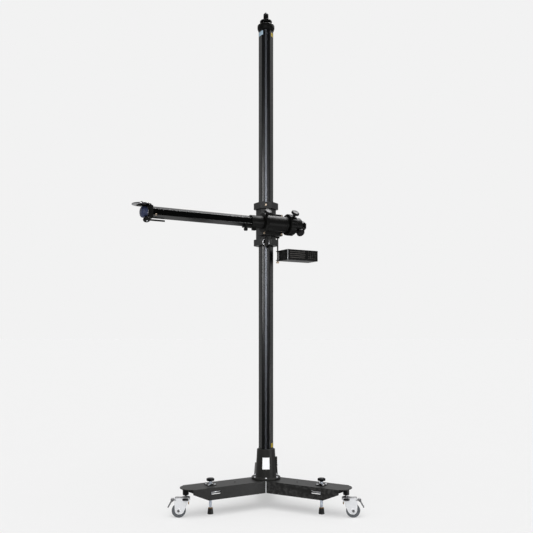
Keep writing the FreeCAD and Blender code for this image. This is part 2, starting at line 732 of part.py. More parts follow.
def tray_hanger():
    """An upright rod on an ear of the carriage; the tray swings about it."""
    flat = -(dim.carriage_corner * math.cos(math.radians(30.0)))
    half = dim.lug_half
    rod = cylinder(dim.rod_radius, dim.rod_top - dim.rod_low,
                   (dim.rod_x, dim.rod_y, dim.rod_low))
    ear = box((dim.rod_x - half, dim.rod_y - half, dim.rod_top - 16),
              (flat, dim.rod_y + half, dim.rod_top))
    return place(fuse(rod, ear), (0, 0, 0), ARM_TURN)


def make_carriage():
    low, high = dim.carriage_low, dim.carriage_high
    tall = dim.collar_height
    lock = cylinder(dim.clamp_hole, 60.0, (0, -30, low + dim.lock_knob_rise),
                    Rotation(X_AXIS, 90.0))
    node(sleeve(dim.carriage_corner, dim.carriage_bore, low + tall, high - tall),
         "carriage_body")
    node(cut(carriage_collars(), lock), "carriage_collars")
    node(guide_pads(), "guide_pads")
    node(housing_bracket(), "housing_bracket")
    node(arm_tube_ring(dim.housing_radius, dim.guide_radius + dim.running_gap,
                       dim.housing_rear, dim.housing_front), "arm_housing")
    node(housing_flange(), "housing_flange")
    node(carriage_screws(), "carriage_screws")
    node(tray_hanger(), "tray_hanger")
    node(carriage_lock_knob(), "carriage_lock_knob")
    node(clamp_knob(*ROLL_KNOB), "roll_clamp_knob")


# ---- cross arm -----------------------------------------------------------

def arm_box(low, high):
    """A box whose corners are given along the arm, across and up from the arm's axis."""
    spot = in_arm_frame(low[0], dim.arm_offset + low[1], dim.arm_height + low[2])
    return place(box(low, high), spot, ARM_TURN)


def hexagon_along_arm(corner, rear, front):
    spot = in_arm_frame(rear, dim.arm_offset, dim.arm_height)
    return prism(6, corner, front - rear, spot, ALONG_ARM)


def arm_guide():
    """The round guide that turns in the housing and has a six-sided bore for the arm."""
    spot = in_arm_frame(dim.guide_rear, dim.arm_offset, dim.arm_height)
    length = dim.guide_front - dim.guide_rear
    round_part = cylinder(dim.guide_radius, length, spot, ALONG_ARM)
    bore = hexagon_along_arm(dim.arm_corner + dim.arm_gap * 1.2, dim.guide_rear,
                             dim.shelf_front)
    shelf = arm_box((dim.lug_rear, -dim.shelf_half, dim.shelf_low),
                    (dim.shelf_front, dim.shelf_half, -14))
    stop_hole = cylinder(dim.clamp_hole, 30.0,
                         in_arm_frame(dim.stop_x, dim.arm_offset, dim.arm_height - 50), ARM_TURN)
    block = arm_box((dim.lug_rear, -9, -47), (dim.lug_rear + 20, 9, -28))
    holes = [knob_hole(SLIDE_KNOB[0], SLIDE_KNOB[1], 20.0, 60.0),
             knob_hole(GUIDE_KNOB[0], GUIDE_KNOB[1], 20.0, 60.0), stop_hole]
    return cut(fuse(round_part, block, shelf), bore, *holes)


def index_ring():
    """The wide ring behind the housing and the drum behind it, fixed on the guide."""
    ring = arm_tube_ring(dim.ring_radius, dim.guide_radius, dim.ring_rear, dim.ring_front)
    drum = arm_tube_ring(dim.drum_radius, dim.guide_radius, dim.guide_rear, dim.ring_rear)
    return cut(fuse(ring, drum), knob_hole(SLIDE_KNOB[0], SLIDE_KNOB[1], 20.0, 60.0),
               knob_hole(GUIDE_KNOB[0], GUIDE_KNOB[1], 20.0, 60.0))


def arm_tube():
    corner = dim.arm_corner
    return cut(hexagon_along_arm(corner, dim.arm_rear, dim.arm_front),
               hexagon_along_arm(corner - dim.arm_wall, dim.arm_rear, dim.arm_front))


def arm_rear_cap():
    return hexagon_along_arm(dim.arm_corner - 2.5, dim.arm_rear - dim.arm_cap_thickness,
                             dim.arm_rear)


def arm_end_block():
    """The casting on the arm's front end, with a tongue under the camera plate."""
    half, front, rear = dim.block_half, dim.block_front, dim.arm_front
    solid = arm_box((rear, -half, dim.block_low), (front, half, dim.plate_low))
    tongue = arm_box((front - 5, -dim.tongue_half, dim.plate_low - 4),
                     (dim.tongue_front, dim.tongue_half, dim.plate_low))
    spot = in_arm_frame(front, dim.arm_offset, dim.arm_height - dim.disc_drop)
    collar = cylinder(dim.disc_radius - 1, dim.drum_rear - front, spot, ALONG_ARM)
    seat = cylinder(dim.screw_head + dim.running_gap, 10.0,
                    in_arm_frame(dim.plate_x, dim.arm_offset,
                                 dim.arm_height + dim.plate_low - 2), ARM_TURN)
    under = cylinder(dim.clamp_hole, 20.0,
                     in_arm_frame(LEVER_X, dim.arm_offset, dim.arm_height - 40), ARM_TURN)
    return cut(fuse(solid, tongue, collar), seat, under)


def arm_end_disc():
    """The dark drum on the end of the head, bored for the head's clamp knob."""
    radius, thick = dim.disc_radius, dim.disc_front - dim.drum_rear
    drum = turned([(0, 0), (radius, 0), (radius, thick - 4), (radius - 3, thick - 1),
                   (0, thick)],
                  in_arm_frame(dim.drum_rear, dim.arm_offset, dim.arm_height - dim.disc_drop),
                  ALONG_ARM)
    return cut(drum, knob_hole(HEAD_KNOB[0], HEAD_KNOB[1], 15.0, 30.0))


def camera_plate():
    spot = in_arm_frame(dim.plate_x, dim.arm_offset, dim.arm_height)
    radius = dim.plate_radius
    bore = dim.camera_stem + dim.running_gap
    return turned([(bore, dim.plate_low), (radius - 4, dim.plate_low),
                   (radius, dim.plate_low + 2), (radius, dim.plate_high - 1),
                   (radius - 1, dim.plate_high), (bore, dim.plate_high)], spot)


def camera_screw():
    """The screw through the tongue and plate, with its threaded end standing proud."""
    low, high = dim.plate_low - 1.9, dim.plate_low - 0.1
    spot = in_arm_frame(dim.plate_x, dim.arm_offset, dim.arm_height)
    stem, tip, head = dim.camera_stem, dim.camera_screw, dim.screw_head
    return turned([(0, low), (head, low), (head, high), (stem, high),
                   (stem, dim.plate_high), (tip, dim.plate_high),
                   (tip, dim.camera_screw_top), (0, dim.camera_screw_top)], spot)


def plate_lever():
    """A flat locking lever under the end block, stored along the arm."""
    low, high = -44.0, -33.5
    bar = arm_box((-dim.lever_length + LEVER_X, -3, low), (LEVER_X, 3, high - 1))
    hub = cylinder(9.0, high - low, in_arm_frame(LEVER_X, dim.arm_offset,
                                                 dim.arm_height + low), ARM_TURN)
    pin = cylinder(dim.clamp_stem, 16.0, in_arm_frame(LEVER_X, dim.arm_offset,
                                                      dim.arm_height + low + 2), ARM_TURN)
    return fuse(bar, hub, pin)


def head_clamp_knob():
    """A smaller mushroom knob low on the side of the end block."""
    cap, stem, neck = dim.head_cap_radius, dim.clamp_stem, dim.clamp_neck_radius - 1
    low, high, insert = dim.head_cap_low, dim.head_cap_high, dim.clamp_insert + 6
    along, lean, reach = HEAD_KNOB
    return turned([(0, -insert), (stem, -insert), (stem, 0.5), (neck, 0.5), (neck, low - 1),
                   (cap - 2, low + 1), (cap, low + 4), (cap, high - 5), (cap - 3, high - 1),
                   (0, high)],
                  knob_spot(along, lean, reach), knob_direction(lean))


def arm_stop_knob():
    """A short knob under the shelf of the guide."""
    spot = in_arm_frame(dim.stop_x, dim.arm_offset, dim.arm_height)
    face, radius, drop, stem = dim.shelf_low, dim.stop_radius, dim.stop_drop, dim.clamp_stem
    return turned([(0, face - drop), (radius - 2, face - drop), (radius, face - drop + 4),
                   (radius, face - 4), (stem, face - 3), (stem, face + 2.5),
                   (0, face + 2.5)], spot)


def make_arm():
    node(arm_guide(), "arm_guide")
    node(index_ring(), "index_ring")
    node(clamp_knob(*SLIDE_KNOB), "slide_clamp_knob")
    node(clamp_knob(*GUIDE_KNOB), "guide_clamp_knob")
    node(arm_tube(), "arm_tube")
    node(arm_rear_cap(), "arm_rear_cap")
    node(arm_end_block(), "arm_end_block")
    node(arm_end_disc(), "arm_end_disc")
    node(arm_stop_knob(), "arm_stop_knob")
    node(camera_plate(), "camera_plate")
    node(camera_screw(), "camera_screw")
    node(plate_lever(), "plate_lever")
    node(head_clamp_knob(), "head_clamp_knob")


# ---- tray ----------------------------------------------------------------

def tray():
    """An open tray that swings on two lugs, with slots in its outer long side."""
    near, side, wall = dim.tray_near, dim.tray_side, dim.tray_wall
    far, front = near - dim.tray_length, side + dim.tray_width
    low, high = dim.tray_low, dim.tray_high
    outside = box((far, side, low), (near, front, high))
    hollow = box((far + wall, side + wall, low + wall), (near - wall, front - wall, high + 10))
    half = dim.lug_half
    lugs = [box((near - wall, dim.rod_y - 6, start),
                (dim.rod_x + half, dim.rod_y + half, start + dim.lug_thickness))
            for start in (low + 2, high - 8)]
    bore = cylinder(dim.rod_radius + dim.running_gap, 100.0, (dim.rod_x, dim.rod_y, low - 20))
    tools = [hollow, bore]
    for index in range(4):
        level = low + 12 + index * 11
        tools.append(box((near - 120, front - 10, level), (near - 14, front + 5, level + 5)))
    for column in range(5):
        start = near - 140 - column * 12
        for line in range(4):
            level = low + 11 + line * 11
            tools.append(box((start - 7, front - 10, level), (start, front + 5, level + 6)))
    return place(cut(fuse(outside, *lugs), *tools), (0, 0, 0), ARM_TURN)


def tray_knob():
    """The small knob on the lower end of the rod."""
    low, bore = dim.rod_low, dim.rod_radius + dim.running_gap
    return turned([(0, low - 3.5), (7, low - 3.5), (8, low - 2), (8, low + 7), (bore, low + 7),
                   (bore, low - 0.3), (0, low - 0.3)],
                  in_arm_frame(dim.rod_x, dim.rod_y, 0))


def make_tray():
    node(tray(), "tray")
    node(tray_knob(), "tray_knob")


# ---- build, check and write ----------------------------------------------

def check_document():
    doc.recompute()
    for obj in doc.Objects:
        bad = [state for state in obj.State if state in ("Invalid", "Error")]
        if bad:
            raise RuntimeError(f"{obj.Name} ({obj.Label}) is {bad}")
    for obj in nodes:
        if obj.Shape.isNull() or not obj.Shape.isValid():
            raise RuntimeError(f"{obj.Label} has no valid shape")


def write_parts():
    os.makedirs("parts", exist_ok=True)
    for obj in nodes:
        obj.Shape.exportStep(os.path.join("parts", obj.Label + ".step"))
        size = obj.Shape.BoundBox
        print(f"{obj.Label:28s} {len(obj.Shape.Solids)} solids "
              f"{size.XLength:7.1f} {size.YLength:7.1f} {size.ZLength:7.1f}")


make_base()
make_castors()
make_feet()
make_column()
make_carriage()
make_arm()
make_tray()
check_document()
write_parts()
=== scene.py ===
import json
import math
import bmesh
import bpy
from mathutils import Matrix, Vector

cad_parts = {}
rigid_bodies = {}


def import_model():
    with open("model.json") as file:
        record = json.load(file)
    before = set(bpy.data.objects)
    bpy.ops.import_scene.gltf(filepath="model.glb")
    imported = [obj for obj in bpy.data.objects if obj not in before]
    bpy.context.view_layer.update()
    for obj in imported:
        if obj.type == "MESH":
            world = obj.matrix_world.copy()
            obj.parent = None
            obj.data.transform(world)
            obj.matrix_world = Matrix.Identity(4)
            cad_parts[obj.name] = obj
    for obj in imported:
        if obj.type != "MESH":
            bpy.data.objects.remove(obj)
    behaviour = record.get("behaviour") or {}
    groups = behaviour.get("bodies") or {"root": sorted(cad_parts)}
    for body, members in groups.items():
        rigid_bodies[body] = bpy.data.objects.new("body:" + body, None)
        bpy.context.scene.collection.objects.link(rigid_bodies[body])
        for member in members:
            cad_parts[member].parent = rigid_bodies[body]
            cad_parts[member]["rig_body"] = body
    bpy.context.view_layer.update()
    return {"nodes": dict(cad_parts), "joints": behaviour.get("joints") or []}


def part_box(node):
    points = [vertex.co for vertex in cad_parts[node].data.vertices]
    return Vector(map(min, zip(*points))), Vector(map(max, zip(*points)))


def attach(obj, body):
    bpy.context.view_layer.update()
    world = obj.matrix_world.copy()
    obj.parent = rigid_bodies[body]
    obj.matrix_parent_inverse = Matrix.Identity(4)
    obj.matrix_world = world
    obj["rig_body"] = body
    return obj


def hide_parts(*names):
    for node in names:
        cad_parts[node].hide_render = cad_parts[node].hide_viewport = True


# The looks of a wheeled studio column stand: black castings and extrusions, zinc castor
# forks, grey tyres and black clamp knobs. Blender works in metres, in the CAD model's
# frame. The shapes below are given in millimetres and scaled by MM.

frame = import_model()
joints = {joint["name"]: joint for joint in frame["joints"]}
LEGS = ("front_left", "front_right", "rear")
MM = 0.001

# The camera, in metres. Its shift is a share of the frame's width.
LENS = 46.3
SENSOR_WIDTH = 36.0
CAMERA_SHIFT = (0.001, 0.1266)
CAMERA_PLACE = (0.0, -3.903, 0.978)

# How bright the world is to the camera, to reflections and to soft light. The last two
# are (Y of the direction at the start, at the end, brightness at the start, at the end).
BACKDROP = 0.888
MIRRORED = (-0.4, 0.35, 0.01, 0.6)
LIT = (-1.0, 1.0, 0.9, 0.2)
# The same for what reflections gain from below, along Z.
MIRRORED_BELOW = (-0.4, -0.9, 0.0, 0.7)
SUN_POWER = 2.2
SUN_SPREAD = math.radians(60.0)
SUN_TILT = math.radians(27.0)
FLOOR_HALF_WIDTH = 120.0
FLOOR_DROP = 0.0005
FLOOR_TONE = 0.386
FLOOR_GLOW = 0.44

# The cross arm. FRONT turns X along the arm, and ARM also moves the origin to its axis.
ARM_YAW = math.radians(210.0)
ARM_HEIGHT = joints["arm_roll"]["pos_m"][2] / MM
FRONT = Matrix.Rotation(ARM_YAW, 4, "Z")
ARM = Matrix.Translation(Vector(joints["arm_roll"]["pos_m"])) @ FRONT

# Sockets of Blender's Mix node when it mixes colours.
MIX_FIRST, MIX_SECOND, MIX_RESULT = 6, 7, 2


# ---- node materials ------------------------------------------------------

class Shader:
    """A principled material and short ways to add procedural nodes to it."""

    def __init__(self, name, colour, roughness, metallic=0.0, coat=0.0, specular=0.5):
        self.material = bpy.data.materials.new(name)
        self.material.use_nodes = True
        self.tree = self.material.node_tree
        self.bsdf = self.tree.nodes["Principled BSDF"]
        self.bsdf.inputs["Base Color"].default_value = (*colour, 1.0)
        self.bsdf.inputs["Roughness"].default_value = roughness
        self.bsdf.inputs["Metallic"].default_value = metallic
        self.bsdf.inputs["Coat Weight"].default_value = coat
        self.bsdf.inputs["Coat Roughness"].default_value = 0.12
        self.bsdf.inputs["Specular IOR Level"].default_value = specular
        self.colour = colour
        self.coords = self.add("ShaderNodeTexCoord").outputs["Object"]

    def add(self, kind, **values):
        node = self.tree.nodes.new(kind)
        for key, value in values.items():
            setattr(node, key, value)
        return node

    def link(self, start, end):
        self.tree.links.new(start, end)

    def stretch(self, scale, turn=0.0):
        """The object's coordinates, turned about Z and then scaled."""
        coords = self.coords
        if turn:
            rotation = self.add("ShaderNodeMapping")
            rotation.inputs["Rotation"].default_value = (0.0, 0.0, turn)
            self.link(coords, rotation.inputs["Vector"])
            coords = rotation.outputs["Vector"]
        mapping = self.add("ShaderNodeMapping")
        mapping.inputs["Scale"].default_value = scale
        self.link(coords, mapping.inputs["Vector"])
        return mapping.outputs["Vector"]

    def noise(self, scale, detail=3.0, stretch=(1, 1, 1), turn=0.0):
        node = self.add("ShaderNodeTexNoise")
        node.inputs["Scale"].default_value = scale
        node.inputs["Detail"].default_value = detail
        node.inputs["Roughness"].default_value = 0.55
        self.link(self.stretch(stretch, turn), node.inputs["Vector"])
        return node.outputs["Fac"]

    def ramp(self, value, low, high, colour_low=(0, 0, 0), colour_high=(1, 1, 1)):
        """One colour up to low and the other from high, by default black to white."""
        node = self.add("ShaderNodeValToRGB")
        node.color_ramp.elements[0].position = low
        node.color_ramp.elements[1].position = high
        node.color_ramp.elements[0].color = (*colour_low, 1.0)
        node.color_ramp.elements[1].color = (*colour_high, 1.0)
        self.link(value, node.inputs["Fac"])
        return node.outputs["Color"]

    def mix(self, factor, first, second):
        node = self.add("ShaderNodeMix", data_type="RGBA")
        self.link(factor, node.inputs["Factor"])
        for index, value in ((MIX_FIRST, first), (MIX_SECOND, second)):
            if isinstance(value, tuple):
                node.inputs[index].default_value = (*value, 1.0)
            else:
                self.link(value, node.inputs[index])
        return node.outputs[MIX_RESULT]

    def colour_from(self, value, spread):
        """Varies the base colour by a share each way."""
        dark = tuple(channel * (1 - spread) for channel in self.colour)
        light = tuple(min(1.0, channel * (1 + spread)) for channel in self.colour)
        shade = self.ramp(value, 0.3, 0.7, dark, light)
        self.link(shade, self.bsdf.inputs["Base Color"])
        return shade

    def worn_edges(self, shade, colour):
        """Lighter colour on sharp convex edges, broken up by a noise."""
        edge = self.ramp(self.add("ShaderNodeNewGeometry").outputs["Pointiness"], 0.53, 0.62)
        patches = self.ramp(self.noise(60.0, 4.0), 0.42, 0.62)
        both = self.mix(edge, (0.0, 0.0, 0.0), patches)
        self.link(self.mix(both, shade, colour), self.bsdf.inputs["Base Color"])

    def roughness_from(self, value, low, high):
        """Takes the roughness from low to high as the value goes from 0 to 1."""
        node = self.add("ShaderNodeMapRange")
        node.inputs["To Min"].default_value = low
        node.inputs["To Max"].default_value = high
        self.link(value, node.inputs["Value"])
        self.link(node.outputs["Result"], self.bsdf.inputs["Roughness"])

    def bump(self, value, strength, depth, round_edges=0.0):
        """A bump over the surface, on top of a small rounding of sharp edges if one is
        given."""
        node = self.add("ShaderNodeBump")
        node.inputs["Strength"].default_value = strength
        node.inputs["Distance"].default_value = depth
        self.link(value, node.inputs["Height"])
        if round_edges:
            soft = self.add("ShaderNodeBevel")
            soft.samples = 4
            soft.inputs["Radius"].default_value = round_edges
            self.link(soft.outputs["Normal"], node.inputs["Normal"])
        self.link(node.outputs["Normal"], self.bsdf.inputs["Normal"])


def powder_coat(name, colour, roughness, specular=0.3):
    """Sprayed paint with a fine pebbled skin, a little dust and worn edges."""
    made = Shader(name, colour, roughness, specular=specular)
    shade = made.colour_from(made.noise(70.0, 6.0), 0.07)
    made.worn_edges(shade, tuple(channel * 1.8 + 0.012 for channel in colour))
    made.roughness_from(made.noise(45.0, 5.0), roughness - 0.02, roughness + 0.03)
    made.bump(made.noise(1100.0, 2.0), 0.22, 0.0003, 0.0012)
    return made.material


def casting(name, colour, roughness, specular=0.1):
    """Coarser textured paint over a cast surface."""
    made = Shader(name, colour, roughness, specular=specular)
    shade = made.colour_from(made.noise(160.0, 6.0), 0.1)
    made.worn_edges(shade, tuple(channel * 1.6 + 0.006 for channel in colour))
    made.roughness_from(made.noise(90.0, 4.0), roughness - 0.06, roughness + 0.08)
    made.bump(made.noise(620.0, 3.0), 0.35, 0.0005, 0.0018)
    return made.material


def anodised(name, colour, along, turn, roughness, metallic=0.35, specular=0.3):
    """An extrusion with fine draw lines along its length."""
    stretch = tuple(2.0 if along == axis else 260.0 for axis in "xyz")
    made = Shader(name, colour, roughness, metallic, 0.2, specular)
    lines = made.noise(4.0, 3.0, stretch, turn=turn)
    made.colour_from(lines, 0.08)
    made.roughness_from(made.noise(6.0, 5.0, stretch, turn=turn), roughness - 0.04,
                        roughness + 0.07)
    made.bump(lines, 0.05, 0.0001, 0.0012)
    return made.material


def plated(name, colour, roughness, spread=0.08, metallic=1.0):
    """Plated or machined metal with a faint mottle and fine scratches."""
    made = Shader(name, colour, roughness, metallic)
    made.colour_from(made.noise(120.0, 5.0), spread)
    made.roughness_from(made.noise(220.0, 4.0, (1, 1, 6)), roughness - 0.08, roughness + 0.12)
    made.bump(made.noise(900.0, 2.0, (1, 1, 5)), 0.1, 0.0001, 0.0006)
    return made.material


def moulded(name, colour, roughness, coat, specular=0.3):
    """Moulded plastic with a fine spark-eroded grain."""
    made = Shader(name, colour, roughness, coat=coat, specular=specular)
    made.colour_from(made.noise(150.0, 4.0), 0.08)
    made.roughness_from(made.noise(140.0, 3.0), roughness - 0.05, roughness + 0.08)
    made.bump(made.noise(1500.0, 2.0), 0.12, 0.0002, 0.0008)
    return made.material


def rubber(name, colour, roughness):
    """Rubber with dust and fine scuffs."""
    made = Shader(name, colour, roughness, specular=0.35)
    dust = made.ramp(made.noise(140.0, 6.0), 0.45, 0.75)
    dusty = tuple(min(1.0, channel * 1.25 + 0.015) for channel in colour)
    made.link(made.mix(dust, colour, dusty), made.bsdf.inputs["Base Color"])
    made.bump(made.noise(700.0, 4.0), 0.3, 0.0004)
    return made.material


def printed(name, colour, faded):
    """A sticker with slightly faded patches."""
    made = Shader(name, colour, 0.5, specular=0.2)
    patches = made.ramp(made.noise(80.0, 4.0), 0.4, 0.8)
    made.link(made.mix(patches, colour, faded), made.bsdf.inputs["Base Color"])
    made.bump(made.noise(300.0, 2.0), 0.1, 0.0001)
    return made.material


LOOKS = {
    "leg_paint": powder_coat("leg_paint", (0.014, 0.0138, 0.0134), 0.42),
    "tray_paint": powder_coat("tray_paint", (0.004, 0.004, 0.004), 0.4, specular=0.14),
    "cast_paint": casting("cast_paint", (0.004, 0.004, 0.0038), 0.46),
    "socket_paint": casting("socket_paint", (0.02, 0.02, 0.019), 0.4),
    "carriage_paint": casting("carriage_paint", (0.009, 0.0093, 0.0097), 0.36, specular=0.2),
    "column_anodised": anodised("column_anodised", (0.005, 0.0053, 0.0055), "z", 0.0, 0.26),
    "arm_anodised": anodised("arm_anodised", (0.002, 0.002, 0.0021), "x", -ARM_YAW, 0.2,
                             specular=0.5),
    "plate_anodised": anodised("plate_anodised", (0.22, 0.22, 0.225), "z", 0.0, 0.22, 0.9),
    "rack_steel": plated("rack_steel", (0.17, 0.178, 0.2), 0.34),
    "zinc": plated("zinc", (0.86, 0.87, 0.9), 0.36, 0.05, 0.5),
    "fork_zinc": plated("fork_zinc", (0.84, 0.85, 0.87), 0.42, 0.03, 0.3),
    "thread_zinc": plated("thread_zinc", (0.8, 0.86, 0.96), 0.3, 0.05, 0.6),
    "grey_steel": plated("grey_steel", (0.34, 0.34, 0.35), 0.34, 0.08, 0.8),
    "tan_zinc": plated("tan_zinc", (0.62, 0.5, 0.38), 0.3, 0.08, 0.6),
    "brass": plated("brass", (0.42, 0.25, 0.1), 0.32, 0.08, 0.7),
    "knob_plastic": moulded("knob_plastic", (0.004, 0.004, 0.0042), 0.36, 0.0, 0.12),
    "black_plastic": moulded("black_plastic", (0.006, 0.006, 0.0062), 0.36, 0.1),
    "hub_plastic": moulded("hub_plastic", (0.78, 0.79, 0.79), 0.4, 0.2),
    "slide_plastic": moulded("slide_plastic", (0.5, 0.47, 0.4), 0.5, 0.0),
    "blue_plastic": moulded("blue_plastic", (0.028, 0.038, 0.088), 0.42, 0.0),
    "tyre_rubber": rubber("tyre_rubber", (0.085, 0.092, 0.1), 0.55),
    "foot_rubber": rubber("foot_rubber", (0.01, 0.01, 0.01), 0.5),
    "tray_felt": rubber("tray_felt", (0.09, 0.085, 0.08), 0.8),
    "plate_rubber": rubber("plate_rubber", (0.02, 0.02, 0.02), 0.6),
    "white_label": printed("white_label", (0.9, 0.91, 0.92), (0.85, 0.86, 0.86)),
    "yellow_mark": printed("yellow_mark", (0.4, 0.29, 0.006), (0.33, 0.24, 0.006)),
    "blue_mark": printed("blue_mark", (0.3, 0.4, 0.48), (0.25, 0.35, 0.43)),
}


# ---- mesh helpers --------------------------------------------------------

def paint(obj, look):
    obj.data.materials.clear()
    obj.data.materials.append(LOOKS[look])
    return obj


def shade(obj, angle=35.0):
    """Smooth shading, with edges over the angle left sharp."""
    for face in obj.data.polygons:
        face.use_smooth = True
    mesh = bmesh.new()
    mesh.from_mesh(obj.data)
    for edge in mesh.edges:
        edge.smooth = (len(edge.link_faces) == 2
                       and edge.calc_face_angle(0.0) <= math.radians(angle))
    mesh.to_mesh(obj.data)
    mesh.free()
    return obj


def to_object(mesh, name, look, matrix=None):
    """Turns a bmesh into a shaded and painted object, and frees it."""
    bmesh.ops.recalc_face_normals(mesh, faces=mesh.faces)
    data = bpy.data.meshes.new(name)
    mesh.to_mesh(data)
    mesh.free()
    if matrix is not None:
        data.transform(matrix)
    obj = bpy.data.objects.new(name, data)
    bpy.context.scene.collection.objects.link(obj)
    return paint(shade(obj), look)


def apply_modifiers(obj):
    bpy.context.view_layer.update()
    evaluated = obj.evaluated_get(bpy.context.evaluated_depsgraph_get())
    data = bpy.data.meshes.new_from_object(evaluated)
    obj.modifiers.clear()
    obj.data = data
    return obj


def rounded(corners, radius):
    """The same outline, with each corner but the first and last turned into an arc."""
    steps = 4
    points = [Vector(corner) for corner in corners]
    made = [points[0]]
    for before, corner, after in zip(points, points[1:], points[2:]):
        back, ahead = before - corner, after - corner
        reach = min(radius, back.length * 0.45, ahead.length * 0.45)
        start = corner + back.normalized() * reach
        end = corner + ahead.normalized() * reach
        for step in range(steps + 1):
            share = step / steps
            made.append(start.lerp(corner, share).lerp(corner.lerp(end, share), share))
    made.append(points[-1])
    return made


def rounded_loop(corners, radius):
    """A closed outline with all its corners turned into arcs."""
    middle = ((corners[0][0] + corners[-1][0]) / 2, (corners[0][1] + corners[-1][1]) / 2)
    line = rounded([middle, *corners, middle], radius)
    return [tuple(point) for point in line[:-1]]


def lathe(name, profile, look, matrix=None, sides=56, radius=None, scallop=None):
    """Turns a (radius, height) profile in millimetres about Z. Its corners are rounded
    by radius, and scallop(radius, height, angle) gives a factor on the radius."""
    points = rounded(profile, radius) if radius else [Vector(point) for point in profile]
    mesh = bmesh.new()
    rings = []
    for point in points:
        if point[0] < 1e-6:
            rings.append([mesh.verts.new((0, 0, point[1] * MM))])
            continue
        ring = []
        for index in range(sides):
            angle = 2 * math.pi * index / sides
            reach = point[0] * MM
            if scallop:
                reach *= scallop(point[0], point[1], angle)
            ring.append(mesh.verts.new((reach * math.cos(angle), reach * math.sin(angle),
                                        point[1] * MM)))
        rings.append(ring)
    if (points[0] - points[-1]).length < 1e-6:
        for vert in rings[-1]:
            mesh.verts.remove(vert)
        rings[-1] = rings[0]
    for low, high in zip(rings, rings[1:]):
        for index in range(sides):
            after = (index + 1) % sides
            if len(low) == 1 and len(high) > 1:
                mesh.faces.new((low[0], high[after], high[index]))
            elif len(high) == 1 and len(low) > 1:
                mesh.faces.new((low[index], low[after], high[0]))
            elif len(low) > 1:
                mesh.faces.new((low[index], low[after], high[after], high[index]))
    return to_object(mesh, name, look, matrix)


def extruded(name, outline, depth, look, matrix, bevel):
    """A flat outline in millimetres in XZ, thickened evenly along Y."""
    mesh = bmesh.new()
    ring = [mesh.verts.new((x * MM, -depth / 2 * MM, z * MM)) for x, z in outline]
    edges = [mesh.edges.new((ring[index], ring[(index + 1) % len(ring)]))
             for index in range(len(ring))]
    filled = bmesh.ops.triangle_fill(mesh, edges=edges, use_beauty=True)
    faces = [item for item in filled["geom"] if isinstance(item, bmesh.types.BMFace)]
    moved = bmesh.ops.extrude_face_region(mesh, geom=faces)
    verts = [item for item in moved["geom"] if isinstance(item, bmesh.types.BMVert)]
    bmesh.ops.translate(mesh, verts=verts, vec=(0, depth * MM, 0))
    bmesh.ops.dissolve_limit(mesh, angle_limit=0.01, verts=mesh.verts, edges=mesh.edges)
    return soften_edges(to_object(mesh, name, look, matrix), bevel)


def soften_edges(obj, width, angle=40.0, segments=2):
    """Bevels the edges over the angle, and keeps the faces between them flat."""
    modifier = obj.modifiers.new("Bevel", "BEVEL")
    modifier.width = width * MM
    modifier.segments = segments
    modifier.limit_method = "ANGLE"
    modifier.angle_limit = math.radians(angle)
    modifier.use_clamp_overlap = True
    apply_modifiers(obj)
    shade(obj, 50.0)
    normals = obj.modifiers.new("Flat faces", "WEIGHTED_NORMAL")
    normals.keep_sharp = True
    return apply_modifiers(obj)


def block(name, low, high, look, matrix, bevel):
    """A block between two corners in millimetres, with rounded edges."""
    mesh = bmesh.new()
    bmesh.ops.create_cube(mesh, size=1.0)
    for vert in mesh.verts:
        for axis in range(3):
            vert.co[axis] = (high[axis] if vert.co[axis] > 0 else low[axis]) * MM
    return soften_edges(to_object(mesh, name, look, matrix), bevel, segments=3)


def axis_matrix(origin, axis):
    """A frame with its Z along the axis and its X level."""
    up = Vector(axis).normalized()
    side = Vector((0, 0, 1)).cross(up)
    if side.length < 1e-4:
        side = Vector((1, 0, 0))
    side.normalize()
    third = up.cross(side)
    return Matrix.Translation(Vector(origin)) @ Matrix((side, third, up)).transposed().to_4x4()


def joint_matrix(name):
    """A frame at a joint, with its Z along the joint's axis."""
    return axis_matrix(joints[name]["pos_m"], joints[name]["axis"])


def softened(node, look, width, angle=30.0, segments=2):
    """A copy of a CAD node with its sharp edges rounded, which stands for the node."""
    source = frame["nodes"][node]
    obj = bpy.data.objects.new("soft_" + node, source.data.copy())
    bpy.context.scene.collection.objects.link(obj)
    mesh = bmesh.new()
    mesh.from_mesh(obj.data)
    bmesh.ops.remove_doubles(mesh, verts=mesh.verts, dist=0.00002)
    bmesh.ops.dissolve_limit(mesh, angle_limit=math.radians(0.5), verts=mesh.verts,
                             edges=mesh.edges)
    mesh.to_mesh(obj.data)
    mesh.free()
    while obj.data.attributes.get("custom_normal"):
        obj.data.attributes.remove(obj.data.attributes["custom_normal"])
    paint(obj, look)
    shade(obj, angle)
    if width:
        soften_edges(obj, width, angle, segments)
    return stand_for(obj, node)


def stand_for(obj, *names):
    """A piece that takes the place of CAD nodes: it hides them and rides on the first one's body.
    """
    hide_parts(*names)
    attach(obj, frame["nodes"][names[0]]["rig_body"])
    return obj


def trim(obj, body):
    """A small extra piece on a body."""
    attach(obj, body)
    return obj


def join(name, pieces):
    """One object from several, keeping each one's material."""
    mesh = bmesh.new()
    materials = []
    for piece in pieces:
        material = piece.data.materials[0]
        if material not in materials:
            materials.append(material)
        first = len(mesh.faces)
        mesh.from_mesh(piece.data)
        mesh.faces.ensure_lookup_table()
        for face in mesh.faces[first:]:
            face.material_index = materials.index(material)
        bpy.data.objects.remove(piece)
    data = bpy.data.meshes.new(name)
    mesh.to_mesh(data)
    mesh.free()
    for material in materials:
        data.materials.append(material)
    obj = bpy.data.objects.new(name, data)
    bpy.context.scene.collection.objects.link(obj)
    return obj


def use_cad(node, look):
    """Keeps a CAD node as it is and gives it its material."""
    paint(frame["nodes"][node], look)


def at(x, y, z):
    """A frame at a place in millimetres."""
    return Matrix.Translation((x * MM, y * MM, z * MM))


def tipped(x, y, z, axis):
    """A frame at a place in millimetres with its Z along an axis."""
    return axis_matrix((x * MM, y * MM, z * MM), axis)


